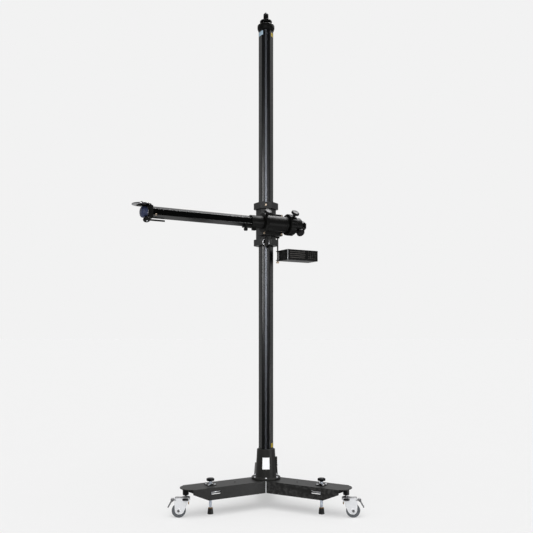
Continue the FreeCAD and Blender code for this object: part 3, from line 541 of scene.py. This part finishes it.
# ---- camera, lights and floor --------------------------------------------

def make_camera():
    bpy.context.scene.view_settings.view_transform = "Standard"
    camera = bpy.data.cameras.new("camera")
    camera.lens = LENS
    camera.sensor_width = SENSOR_WIDTH
    camera.shift_x, camera.shift_y = CAMERA_SHIFT
    camera.clip_end = 300.0
    obj = bpy.data.objects.new("camera", camera)
    bpy.context.scene.collection.objects.link(obj)
    obj.location = CAMERA_PLACE
    obj.rotation_euler = (math.radians(90.0), 0.0, 0.0)
    bpy.context.scene.camera = obj


def area_light(name, place, target, width, height, power):
    """A soft box that points at a target. It is only seen in reflections."""
    light = bpy.data.lights.new(name, "AREA")
    light.shape = "RECTANGLE"
    light.size = width
    light.size_y = height
    light.energy = power
    obj = bpy.data.objects.new(name, light)
    bpy.context.scene.collection.objects.link(obj)
    obj.location = place
    obj.rotation_euler = (Vector(target) - Vector(place)).to_track_quat("-Z", "Y").to_euler()
    obj.visible_diffuse = False


def make_lights():
    area_light("light_front", (-0.55, -4.6, 2.1), (0, 0, 1.45), 0.6, 2.0, 72)
    area_light("light_right", (3.4, -1.95, 0.1), (-0.35, -0.2, 0.12), 1.0, 1.0, 90)
    area_light("light_above", (1.16, 1.35, 5.2), (-0.12, -0.2, 1.61), 2.4, 2.4, 260)
    sun = bpy.data.lights.new("light_overhead", "SUN")
    sun.energy = SUN_POWER
    sun.angle = SUN_SPREAD
    obj = bpy.data.objects.new("light_overhead", sun)
    bpy.context.scene.collection.objects.link(obj)
    obj.rotation_euler = (SUN_TILT, 0.0, 0.0)
    obj.visible_glossy = False


def make_world():
    """A pale backdrop. What surfaces mirror is dark in front and pale behind, and what
    lights them is soft and stronger in front."""
    world = bpy.data.worlds.new("studio")
    bpy.context.scene.world = world
    world.use_nodes = True
    tree = world.node_tree
    background = tree.nodes["Background"]
    background.inputs["Color"].default_value = (1.0, 1.0, 1.0, 1.0)
    coords = tree.nodes.new("ShaderNodeTexCoord")
    split = tree.nodes.new("ShaderNodeSeparateXYZ")
    tree.links.new(coords.outputs["Generated"], split.inputs["Vector"])
    rays = tree.nodes.new("ShaderNodeLightPath")
    levels = []
    for axis, values in (("Y", MIRRORED), ("Z", MIRRORED_BELOW), ("Y", LIT)):
        level = tree.nodes.new("ShaderNodeMapRange")
        for socket, value in zip(("From Min", "From Max", "To Min", "To Max"), values):
            level.inputs[socket].default_value = value
        tree.links.new(split.outputs[axis], level.inputs["Value"])
        levels.append(level.outputs["Result"])
    mirrored, below, lit = levels
    total = tree.nodes.new("ShaderNodeMath")
    tree.links.new(mirrored, total.inputs[0])
    tree.links.new(below, total.inputs[1])
    strength = total.outputs["Value"]
    for ray, value in (("Is Diffuse Ray", lit), ("Is Camera Ray", BACKDROP)):
        choose = tree.nodes.new("ShaderNodeMix")
        choose.data_type = "FLOAT"
        tree.links.new(rays.outputs[ray], choose.inputs["Factor"])
        tree.links.new(strength, choose.inputs["A"])
        if isinstance(value, float):
            choose.inputs["B"].default_value = value
        else:
            tree.links.new(value, choose.inputs["B"])
        strength = choose.outputs["Result"]
    tree.links.new(strength, background.inputs["Strength"])


def make_floor():
    """A wide pale sheet. Its even glow keeps the shadow under the base light, and it
    isn't seen in reflections."""
    mesh = bmesh.new()
    bmesh.ops.create_grid(mesh, x_segments=1, y_segments=1, size=FLOOR_HALF_WIDTH)
    floor = to_object(mesh, "floor", "white_label")
    made = Shader("floor_paper", (FLOOR_TONE, FLOOR_TONE, FLOOR_TONE), 0.9, specular=0.0)
    made.bsdf.inputs["Emission Color"].default_value = (1.0, 1.0, 1.0, 1.0)
    made.bsdf.inputs["Emission Strength"].default_value = FLOOR_GLOW
    made.colour_from(made.noise(3.0), 0.004)
    floor.data.materials.clear()
    floor.data.materials.append(made.material)
    floor.location = (0, 0, -FLOOR_DROP)
    floor.visible_glossy = False


# ---- small repeated pieces -----------------------------------------------

def screw_head(name, radius, height, look, matrix):
    """A socket screw head that stands on a face, with its hexagon recess."""
    recess = radius * 0.5
    return lathe(name, [(radius * 0.96, 0), (radius, height * 0.15), (radius, height * 0.75),
                        (radius * 0.85, height), (recess, height), (recess, height * 0.35),
                        (0, height * 0.3)], look, matrix, 24, height * 0.12)


def threaded(name, radius, low, high, pitch, look, matrix):
    """A rod with thread grooves, given between two heights."""
    turns = int((high - low) / pitch)
    step = (high - low) / turns
    root = radius - 0.55
    profile = [(0, low), (radius - 0.5, low)]
    for index in range(turns):
        start = low + step * index
        profile += [(root, start + step * 0.15), (radius, start + step * 0.45),
                    (radius, start + step * 0.6), (root, start + step * 0.9)]
    profile += [(radius - 0.5, high), (0, high)]
    return lathe(name, profile, look, matrix, 28)


def label(name, low_points, low, high_points, high, look):
    """A thin printed label between two lines of plan points, at their heights."""
    mesh = bmesh.new()
    bottom, top = [[mesh.verts.new((x * MM, y * MM, height * MM)) for x, y in points]
                   for points, height in ((low_points, low), (high_points, high))]
    for index in range(len(bottom) - 1):
        mesh.faces.new((bottom[index], bottom[index + 1], top[index + 1], top[index]))
    return to_object(mesh, name, look)


def lobed(count, depth, power, beyond, below=math.inf):
    """A scallop with evenly spaced hollows, past a radius and under a height."""
    def scallop(radius, height, angle):
        if radius > beyond and height < below:
            return 1 - depth * math.cos(count * angle) ** power
        return 1.0

    return scallop


def mushroom_knob(name, joint, cap, seat, low, high, neck=9.0, insert=9.0, lobes=8):
    """A clamp knob in the frame of its joint, with a ribbed rim. Its cap lies between
    low and high, and its neck starts at seat."""
    profile = [(0, -insert), (5, -insert), (5, seat), (neck, seat), (neck - 1, low - 4),
               (cap - 5, low), (cap - 0.4, low + 2.5), (cap, low + 5), (cap, high - 7),
               (cap - 1.5, high - 4), (cap - 6, high - 1), (cap - 10, high - 0.6),
               (cap - 11, high - 1.6), (0, high - 1.6)]
    return lathe(name, profile, "knob_plastic", joint_matrix(joint), 96, 0.9,
                 lobed(lobes, 0.03, 8, cap - 2))


# ---- column --------------------------------------------------------------

def make_column():
    softened("column_tube", "column_anodised", 0.0)
    use_cad("column_rack", "rack_steel")
    use_cad("column_plug", "black_plastic")
    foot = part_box("top_cap")[0].z / MM
    cap = lathe("cap_casting", [(0, 0), (43.5, 0), (48.4, 13), (48.4, 30), (44, 33),
                                (23.5, 45), (0, 45)], "cast_paint", at(0, 0, foot), 72, 2.5)
    stand_for(cap, "top_cap")
    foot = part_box("top_spigot")[0].z / MM
    spigot = lathe("spigot_turned", [(0, 0), (18.3, 0), (18.3, 2), (33, 2), (34, 4), (34, 12),
                                     (32, 14), (14.3, 14), (14.3, 20), (13.4, 21), (13.4, 27),
                                     (14.3, 28), (14.3, 51), (5, 61), (0, 61)],
                   "cast_paint", at(0, 0, foot), 64, 0.8)
    stand_for(spigot, "top_spigot")
    foot, top = [corner.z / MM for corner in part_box("column_tube")]
    out = 0.35    # how far a mark stands off the column
    left = [(-39.2 - out, -5), (-24.2 - out, -32.6 - out), (-22.4, -35.75 - out),
            (-17, -35.75 - out)]
    right = [(28.2 + out, -25.2 - out), (38.6 + out, -6.2)]
    for name, points, low, high, look in (
            ("mark_blue", left, top - 33, top - 9, "blue_mark"),
            ("mark_yellow_top", right, top - 37, top - 15, "yellow_mark"),
            ("mark_yellow_low", right, foot + 8, foot + 32, "yellow_mark")):
        trim(label(name, points, low, points, high, look), "column")


# ---- base ----------------------------------------------------------------

LEG_TOP = 157.0
SOCKET_BORE = 38.05
FLANGE_TOP = 169.0
FLANGE_SCREWS = 72.0    # radius of the ring of screws


def make_base():
    for leg in LEGS:
        softened("leg_" + leg, "leg_paint", 1.6, 40.0, 3)
    use_cad("hub_plate", "leg_paint")
    socket = lathe("socket_casting", [(SOCKET_BORE, LEG_TOP), (82.5, LEG_TOP), (82.5, 166.5),
                                      (80, FLANGE_TOP), (63, FLANGE_TOP), (60.5, 171),
                                      (59.3, 177), (58.5, 192), (58.2, 197), (51.4, 318),
                                      (51.4, 324), (48, 327), (SOCKET_BORE, 327),
                                      (SOCKET_BORE, LEG_TOP)], "socket_paint", None, 96, 1.6)
    boss = block("socket_boss", (42, -13, 190), (64, 13, 280), "socket_paint", None, 3.5)
    stand_for(join("socket_shell", [socket, boss]), "column_socket")
    heads = []
    for index in range(6):
        angle = math.radians(30 + 60 * index)
        spot = at(FLANGE_SCREWS * math.cos(angle), FLANGE_SCREWS * math.sin(angle),
                  FLANGE_TOP)
        heads.append(screw_head("flange_head", 5.0, 4.5, "zinc", spot))
    heads.append(screw_head("boss_head", 5.0, 4.5, "zinc", tipped(64, 0, 235, (1, 0, 0))))
    stand_for(join("socket_heads", heads), "socket_screws")
    turns = [math.radians(step) for step in range(-21, 22, 6)]
    wide, narrow = [[(radius * math.sin(turn), -radius * math.cos(turn)) for turn in turns]
                    for radius in (57.6, 54.1)]
    trim(label("socket_label", wide, 218, narrow, 283, "white_label"), "base")
    # A bright zinc strip in the corner where the two front legs meet: a painted highlight that
    # stands in for the front light's reflection in that corner.
    corner_highlight = block("leg_corner_highlight", (-2.4, -82.4, 92), (2.4, -79.5, 156), "zinc", None, 0.6)
    trim(corner_highlight, "base")
    cups = []
    for name in LEGS:
        spot = joints["castor_swivel_" + name]["pos_m"]
        cups.append(lathe("castor_cup", [(6.1, 120), (14, 120), (16.5, 123), (16.5, 146),
                                         (15.5, 148), (16.5, 153), (6.1, 153), (6.1, 120)],
                          "black_plastic", at(spot[0] / MM, spot[1] / MM, 0), 48, 0.8))
    stand_for(join("castor_cups", cups), "castor_sockets")
    softened("levelling_bushes", "black_plastic", 0.8)
    heads = []
    for name in LEGS:
        spot = Vector(joints["screw_turn_" + name]["pos_m"])
        turn = math.atan2(spot.y, spot.x)
        leg = Matrix.Translation((spot.x, spot.y, 0)) @ Matrix.Rotation(turn, 4, "Z")
        for along in (-18, 18):
            for side in (-17, 17):
                heads.append(screw_head("plate_head", 4.6, 3.6, "zinc",
                                        leg @ at(along, side, 160.8)))
        heads.append(screw_head("leg_head", 4.4, 2.0, "black_plastic",
                                leg @ at(-150, 0, LEG_TOP - 0.1)))
        # Dark strips in leg paint along the lower edge of each slot, not in the CAD model: they
        # hide the lit floor inside the leg and keep the slot's lower part dark, as painted shade.
        shade_lips = [block("lip", (-27.2, low, 118.6), (27.2, high, 121.4), "leg_paint", leg, 0.8)
                for low, high in ((-69.7, -66.3), (66.3, 69.7))]
        trim(join("slot_shade_lips_" + name, shade_lips), "base")
    stand_for(join("leg_heads", heads), "leg_screws")


AXLE_TRAIL = 37.0       # how far the axle is from the swivel axis
AXLE_HEIGHT = 37.5


def make_castor(name):
    """A pressed castor: local X trails away from the swivel axis, and Y is the axle."""
    swivel = Vector(joints["castor_swivel_" + name]["pos_m"])
    axle = Vector(joints["wheel_spin_" + name]["pos_m"])
    trail = axle - swivel
    place = Matrix.Translation((swivel.x, swivel.y, 0)) @ Matrix.Rotation(
        math.atan2(trail.y, trail.x), 4, "Z")
    cheek = rounded_loop([(-22, 90), (-8, 84), (-3, 60), (10, 30), (20, 21), (37, 18.5),
                          (50, 24), (57, 38), (59, 84), (57, 106), (-22, 106)], 5)
    pieces = []
    for side in (-13.75, 13.75):
        pieces.append(extruded("cheek", cheek, 2.5, "fork_zinc", place @ at(0, side, 0), 0.6))
    pieces.append(block("crown", (-22, -15, 103.5), (57, 15, 108), "grey_steel", place, 1.6))
    pieces.append(block("skirt", (54.5, -15, 88), (58, 15, 106), "fork_zinc", place, 1.2))
    pieces.append(lathe("race_low", [(7, 92), (20, 92), (23, 95), (23, 101), (20, 103.6),
                                     (7, 103.6), (7, 92)], "black_plastic", place, 48, 1.0))
    pieces.append(lathe("race_top", [(0, 107.8), (22, 107.8), (22, 109.4), (20, 111), (11, 111),
                                     (9.5, 113), (6, 113), (6, 147), (0, 147)],
                        "grey_steel", place, 48, 0.6))
    for side in (-1, 1):
        bolt = place @ tipped(AXLE_TRAIL, side * 15, AXLE_HEIGHT, (0, side, 0))
        pieces.append(lathe("boss_ring", [(6, 0), (14, 0), (13, 1.2), (11.5, 1.4), (6, 1.4),
                                          (6, 0)], "fork_zinc", bolt, 48, 0.3))
        pieces.append(lathe("axle_nut", [(0, 0), (8, 0), (8, 3.2), (7, 4), (3.6, 4), (3.4, 4.8),
                                         (0, 5)], "grey_steel", bolt, 6))
    wheel = place @ tipped(AXLE_TRAIL, 0, AXLE_HEIGHT, (0, 1, 0))
    pieces.append(lathe("axle_shaft", [(0, -13), (5, -13), (5, 13), (0, 13)], "grey_steel",
                        wheel, 32))
    pieces.append(lathe("lock_pin", [(0, 70), (2.2, 70), (2.8, 72), (2.8, 93), (0, 93)],
                        "brass", place @ at(-15, 0, 0), 20, 0.4))
    stand_for(join("castor_shell_" + name, pieces), "castor_fork_" + name)

    tyre = lathe("tyre_ring_" + name, [(20.6, -9.2), (28, -11), (35.4, -10.4), (37.2, -7),
                                       (37.5, 0), (37.2, 7), (35.4, 10.4), (28, 11),
                                       (20.6, 9.2), (20.6, -9.2)], "tyre_rubber", wheel, 96, 1.5)
    stand_for(tyre, "tyre_" + name)
    hub = lathe("hub_disc_" + name, [(5.06, -10), (9, -10), (10.5, -8.5), (11, -5), (16, -4),
                                     (18, -8.6), (20.5, -9.4), (20.5, 9.4), (18, 8.6), (16, 4),
                                     (11, 5), (10.5, 8.5), (9, 10), (5.06, 10), (5.06, -10)],
                "hub_plastic", wheel, 72, 0.9)
    ribs = []
    for index in range(6):
        turn = Matrix.Rotation(math.radians(60 * index), 4, "Z")
        ribs.append(block("rib", (10, -1.3, -7.2), (17.8, 1.3, 7.2), "hub_plastic",
                          wheel @ turn, 0.7))
    stand_for(join("hub_shell_" + name, [hub, *ribs]), "wheel_hub_" + name)

    tongue = extruded("pedal_tongue", rounded_loop(
        [(66, 86), (73, 84), (91.5, 52), (97.5, 55), (80, 88), (79, 101), (66, 101)], 3), 20,
        "grey_steel", place, 1.0)
    bar = block("pedal_bar", (47, -11.3, 90.5), (79, 11.3, 101.5), "grey_steel", place, 1.8)
    grips = [block("pedal_rib", (80 + 4 * index, -9.5, 80 - 7.4 * index),
                   (83 + 4 * index, 9.5, 82 - 7.4 * index), "grey_steel", place, 0.5)
             for index in range(3)]
    pin = lathe("pedal_pin", [(0, -15.2), (3, -15.2), (3, 15.2), (0, 15.2)], "grey_steel",
                place @ tipped(52, 0, 96, (0, 1, 0)), 24, 0.4)
    stand_for(join("pedal_shell_" + name, [tongue, bar, pin, *grips]), "brake_pedal_" + name)


def make_foot(name):
    """A levelling foot: its screw with a hand wheel inside the leg, a pad and a knob."""
    spot = Vector(joints["screw_turn_" + name]["pos_m"])
    place = at(spot.x / MM, spot.y / MM, 0)
    pad = lathe("foot_cup_" + name, [(0, 0), (15.4, 0), (16.5, 1.5), (16.4, 5), (15.6, 6),
                                     (15.2, 9), (15.5, 10), (13.7, 27), (13.5, 29),
                                     (12.3, 32), (8.2, 32), (8.2, 12), (0, 12)], "foot_rubber",
                place, 64, 0.6)
    stand_for(pad, "foot_pad_" + name)
    ring = lathe("foot_ring_" + name, [(8.3, 31.6), (11.6, 31.6), (11.6, 35), (10.8, 36),
                                       (8.3, 36), (8.3, 31.6)], "brass", place, 48, 0.4)
    trim(ring, "foot_" + name)

    rod = threaded("rod", 8.0, 12, 127, 2.0, "thread_zinc", place)
    upper = threaded("rod_top", 8.0, 137, 178, 2.0, "thread_zinc", place)
    wheel = lathe("hand_wheel", [(7, 127), (12, 127), (14, 129), (48, 129), (50, 127.4),
                                 (57, 127.4), (58, 129), (58, 135), (57, 136.6), (50, 136.6),
                                 (48, 135), (14, 135), (12, 137), (7, 137)], "zinc", place, 144,
                  0.5, lobed(36, 0.012, 2, 56))
    stand_for(join("screw_shell_" + name, [rod, upper, wheel]), "levelling_screw_" + name)

    knob = lathe("level_knob_" + name, [(8.2, 177), (9.6, 177), (10, 180.2), (19.4, 180.4),
                                        (21.5, 182.2), (21.5, 190.4), (20.4, 192.8),
                                        (16.5, 194.7), (0, 195)], "knob_plastic", place, 108,
                 0.7, lobed(9, 0.03, 6, 20))
    stand_for(knob, "levelling_knob_" + name)


# ---- carriage ------------------------------------------------------------

def make_carriage():
    softened("carriage_body", "carriage_paint", 1.5)
    softened("carriage_collars", "carriage_paint", 1.8)
    softened("housing_bracket", "carriage_paint", 2.0, 40.0)
    softened("housing_flange", "cast_paint", 1.5, 30.0)
    use_cad("guide_pads", "slide_plastic")
    softened("tray_hanger", "tray_paint", 0.6)
    place = joint_matrix("arm_roll")
    housing = lathe("housing_barrel", [(35.1, -67.4), (41, -67.4), (43, -65), (43, -52),
                                       (42.2, -51), (42.2, -48), (43, -47), (43, 66),
                                       (41.5, 68), (41.5, 72), (35.1, 72), (35.1, -67.4)],
                    "cast_paint", place, 112, 0.9)
    stand_for(housing, "arm_housing")
    heads = []
    low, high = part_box("carriage_collars")
    heads.append(screw_head("collar_head", 5.2, 3.2, "tan_zinc",
                            tipped(0, low.y / MM, high.z / MM - 18, (0, -1, 0))))
    for along in (-57, 57):
        for height in (-51, 51):
            spot = ARM @ tipped(along, -34, height, (0, 1, 0))
            heads.append(screw_head("bracket_head", 5.6, 4.4, "tan_zinc", spot))
    stand_for(join("bracket_heads", heads), "carriage_screws")
    lock_height = joints["carriage_lock_turn"]["pos_m"][2] / MM
    front = low.y / MM
    toward = tipped(0, front - 0.3, lock_height, (0, -1, 0))
    washer = lathe("lock_washer", [(5, 0), (18, 0), (19, 1), (19, 2.2), (18, 3), (12, 3.4),
                                   (5, 3.4)], "zinc", toward, 72, 0.4)
    boss = lathe("lock_boss", [(0, 3.2), (16, 3.2), (16.6, 5), (16.6, 12), (15, 14.6), (11, 16.4),
                               (9, 18), (0, 18)], "knob_plastic", toward, 56, 1.0)
    stem = lathe("lock_stem", [(0, -16), (5, -16), (5, 3.5), (0, 3.5)], "grey_steel", toward, 28)
    wing = extruded("lock_wing", rounded_loop([(-3, -28), (9, -28), (14, -12), (14, 12), (9, 28),
                                               (-3, 28), (-7, 10), (-7, -10)], 6), 13,
                    "knob_plastic", at(0, front - 15.2, lock_height), 3.0)
    stand_for(join("lock_wing_knob", [washer, boss, stem, wing]), "carriage_lock_knob")
    stand_for(mushroom_knob("roll_knob", "roll_clamp_turn", 23, 2, 16, 31), "roll_clamp_knob")


# ---- cross arm -----------------------------------------------------------

def make_arm():
    softened("arm_guide", "cast_paint", 0.9)
    place = joint_matrix("arm_roll")
    ring = lathe("index_wheel", [(35, -151), (41, -151), (43, -148.5), (43, -112), (44, -110.5),
                                 (56, -110), (60, -106.5), (60, -72), (56.5, -68.2),
                                 (35, -68.2), (35, -151)], "cast_paint", place, 168, 1.2,
                 lobed(7, 0.045, 4, 54, -70))
    stand_for(ring, "index_ring")
    stand_for(mushroom_knob("slide_knob", "slide_clamp_turn", 23, 2, 16, 31),
              "slide_clamp_knob")
    stand_for(mushroom_knob("guide_knob", "guide_clamp_turn", 23, 2, 16, 31),
              "guide_clamp_knob")
    softened("arm_tube", "arm_anodised", 1.2)
    softened("arm_rear_cap", "black_plastic", 2.0)
    softened("arm_end_block", "cast_paint", 2.2, 40.0)
    drum = ARM @ tipped(757, 0, -3, (1, 0, 0))
    stand_for(lathe("end_drum", [(0, 0), (29.4, 0), (29.5, 1), (29.5, 12), (28.9, 17),
                                 (27, 21.6), (23.4, 25.4), (17.5, 27.8), (9.5, 28.8), (0, 29)],
                    "blue_plastic", drum, 96, 2.0), "arm_end_disc")
    rim = lathe("end_drum_rim", [(27, -3), (29.8, -3), (29.8, -0.3), (27, -0.3), (27, -3)],
                "grey_steel", drum, 96, 0.3)
    trim(rim, "arm")
    stop = lathe("stop_knob", [(0, -52.5), (8, -52.5), (11, -49), (11, -39.5), (9, -38),
                               (5, -37), (5, -31.6), (0, -31.6)], "knob_plastic",
                 ARM @ at(190, 0, 0), 60, 0.9, lobed(7, 0.05, 6, 10))
    stand_for(stop, "arm_stop_knob")
    dot = screw_head("arm_side_screw", 4.6, 1.6, "tan_zinc",
                     ARM @ tipped(713, 25.3, -14, (0, 0.924, -0.383)))
    trim(dot, "arm")

    spot = Vector(joints["plate_turn"]["pos_m"]) / MM
    centre = at(spot.x, spot.y, ARM_HEIGHT)
    plate = lathe("plate_metal", [(5.6, 31.1), (46.5, 31.1), (50, 32.6), (50, 36.6), (49, 37.2),
                                  (5.6, 37.2), (5.6, 31.1)], "plate_anodised", centre, 112, 0.5)
    pad = lathe("plate_pad", [(9, 37.0), (47.5, 37.0), (47.5, 37.8), (46.8, 38), (9, 38),
                              (9, 37.0)], "plate_rubber", centre, 96, 0.2)
    stand_for(join("camera_plate_shell", [plate, pad]), "camera_plate")
    head = lathe("screw_flange", [(0, 29.1), (9, 29.1), (9, 30.9), (5.5, 30.9), (5.5, 38),
                                  (0, 38)], "plate_anodised", centre, 40, 0.2)
    tip = threaded("screw_tip", 4.75, 37.8, 50, 1.6, "grey_steel", centre)
    stand_for(join("camera_screw_shell", [head, tip]), "camera_screw")

    spot = Vector(joints["lever_swing"]["pos_m"]) / MM
    hinge = at(spot.x, spot.y, ARM_HEIGHT)
    hub = lathe("lever_hub", [(0, -44), (8, -44), (9, -43), (9, -34.5), (8, -33.5), (0, -33.5)],
                "black_plastic", hinge, 48, 0.8)
    pin = lathe("lever_pin", [(0, -34), (5, -34), (5, -26), (0, -26)], "grey_steel", hinge, 28)
    bar = block("lever_bar", (656, -3.2, -43.6), (744, 3.2, -35), "black_plastic", ARM, 2.4)
    stand_for(join("lever_shell", [hub, pin, bar]), "plate_lever")
    knob = mushroom_knob("head_knob", "head_clamp_turn", 18.7, 0.5, 10, 25, 8.0, 15.0, 6)
    screw = screw_head("head_knob_screw", 3.6, 1.5, "zinc",
                       joint_matrix("head_clamp_turn") @ at(0, 0, 23.4))
    stand_for(join("head_knob_shell", [knob, screw]), "head_clamp_knob")


# ---- tray ----------------------------------------------------------------

def make_tray():
    softened("tray", "tray_paint", 0.0)
    rim = [block("tray_lip", (*low, 1453.2), (*high, 1456.0), "tray_paint", FRONT, 1.1)
           for low, high in (((-282.6, 105.2), (-79.4, 107.6)), ((-282.6, 5.4), (-79.4, 7.8)),
                             ((-282.6, 5.4), (-280.2, 107.6)), ((-81.8, 5.4), (-79.4, 107.6)))]
    trim(join("tray_rim", rim), "tray_body")
    liner = block("tray_liner", (-277, 101.6, 1399), (-85, 103.6, 1452.6), "tray_felt", FRONT,
                  0.5)
    trim(liner, "tray_body")
    # A bright zinc strip on the tray's nearest corner: a painted highlight that stands in for the
    # reflection along the corner's edge.
    edge = block("tray_corner_highlight", (-81.6, 104.6, 1396.5), (-79.3, 107.4, 1454), "zinc",
                 FRONT, 0.9)
    trim(edge, "tray_body")
    spot = Vector(joints["tray_clamp_turn"]["pos_m"]) / MM
    knob = lathe("tray_nut", [(0, 1382.5), (7, 1382.5), (8, 1384), (8, 1392), (7.4, 1393),
                              (4.1, 1393), (4.1, 1385.8), (0, 1385.8)], "tan_zinc",
                 at(spot.x, spot.y, 0), 32, 0.5)
    stand_for(knob, "tray_knob")


# ---- the whole stand -----------------------------------------------------

make_world()
make_camera()
make_floor()
make_lights()
make_column()
make_base()
for leg_name in LEGS:
    make_castor(leg_name)
    make_foot(leg_name)
make_carriage()
make_arm()
make_tray()
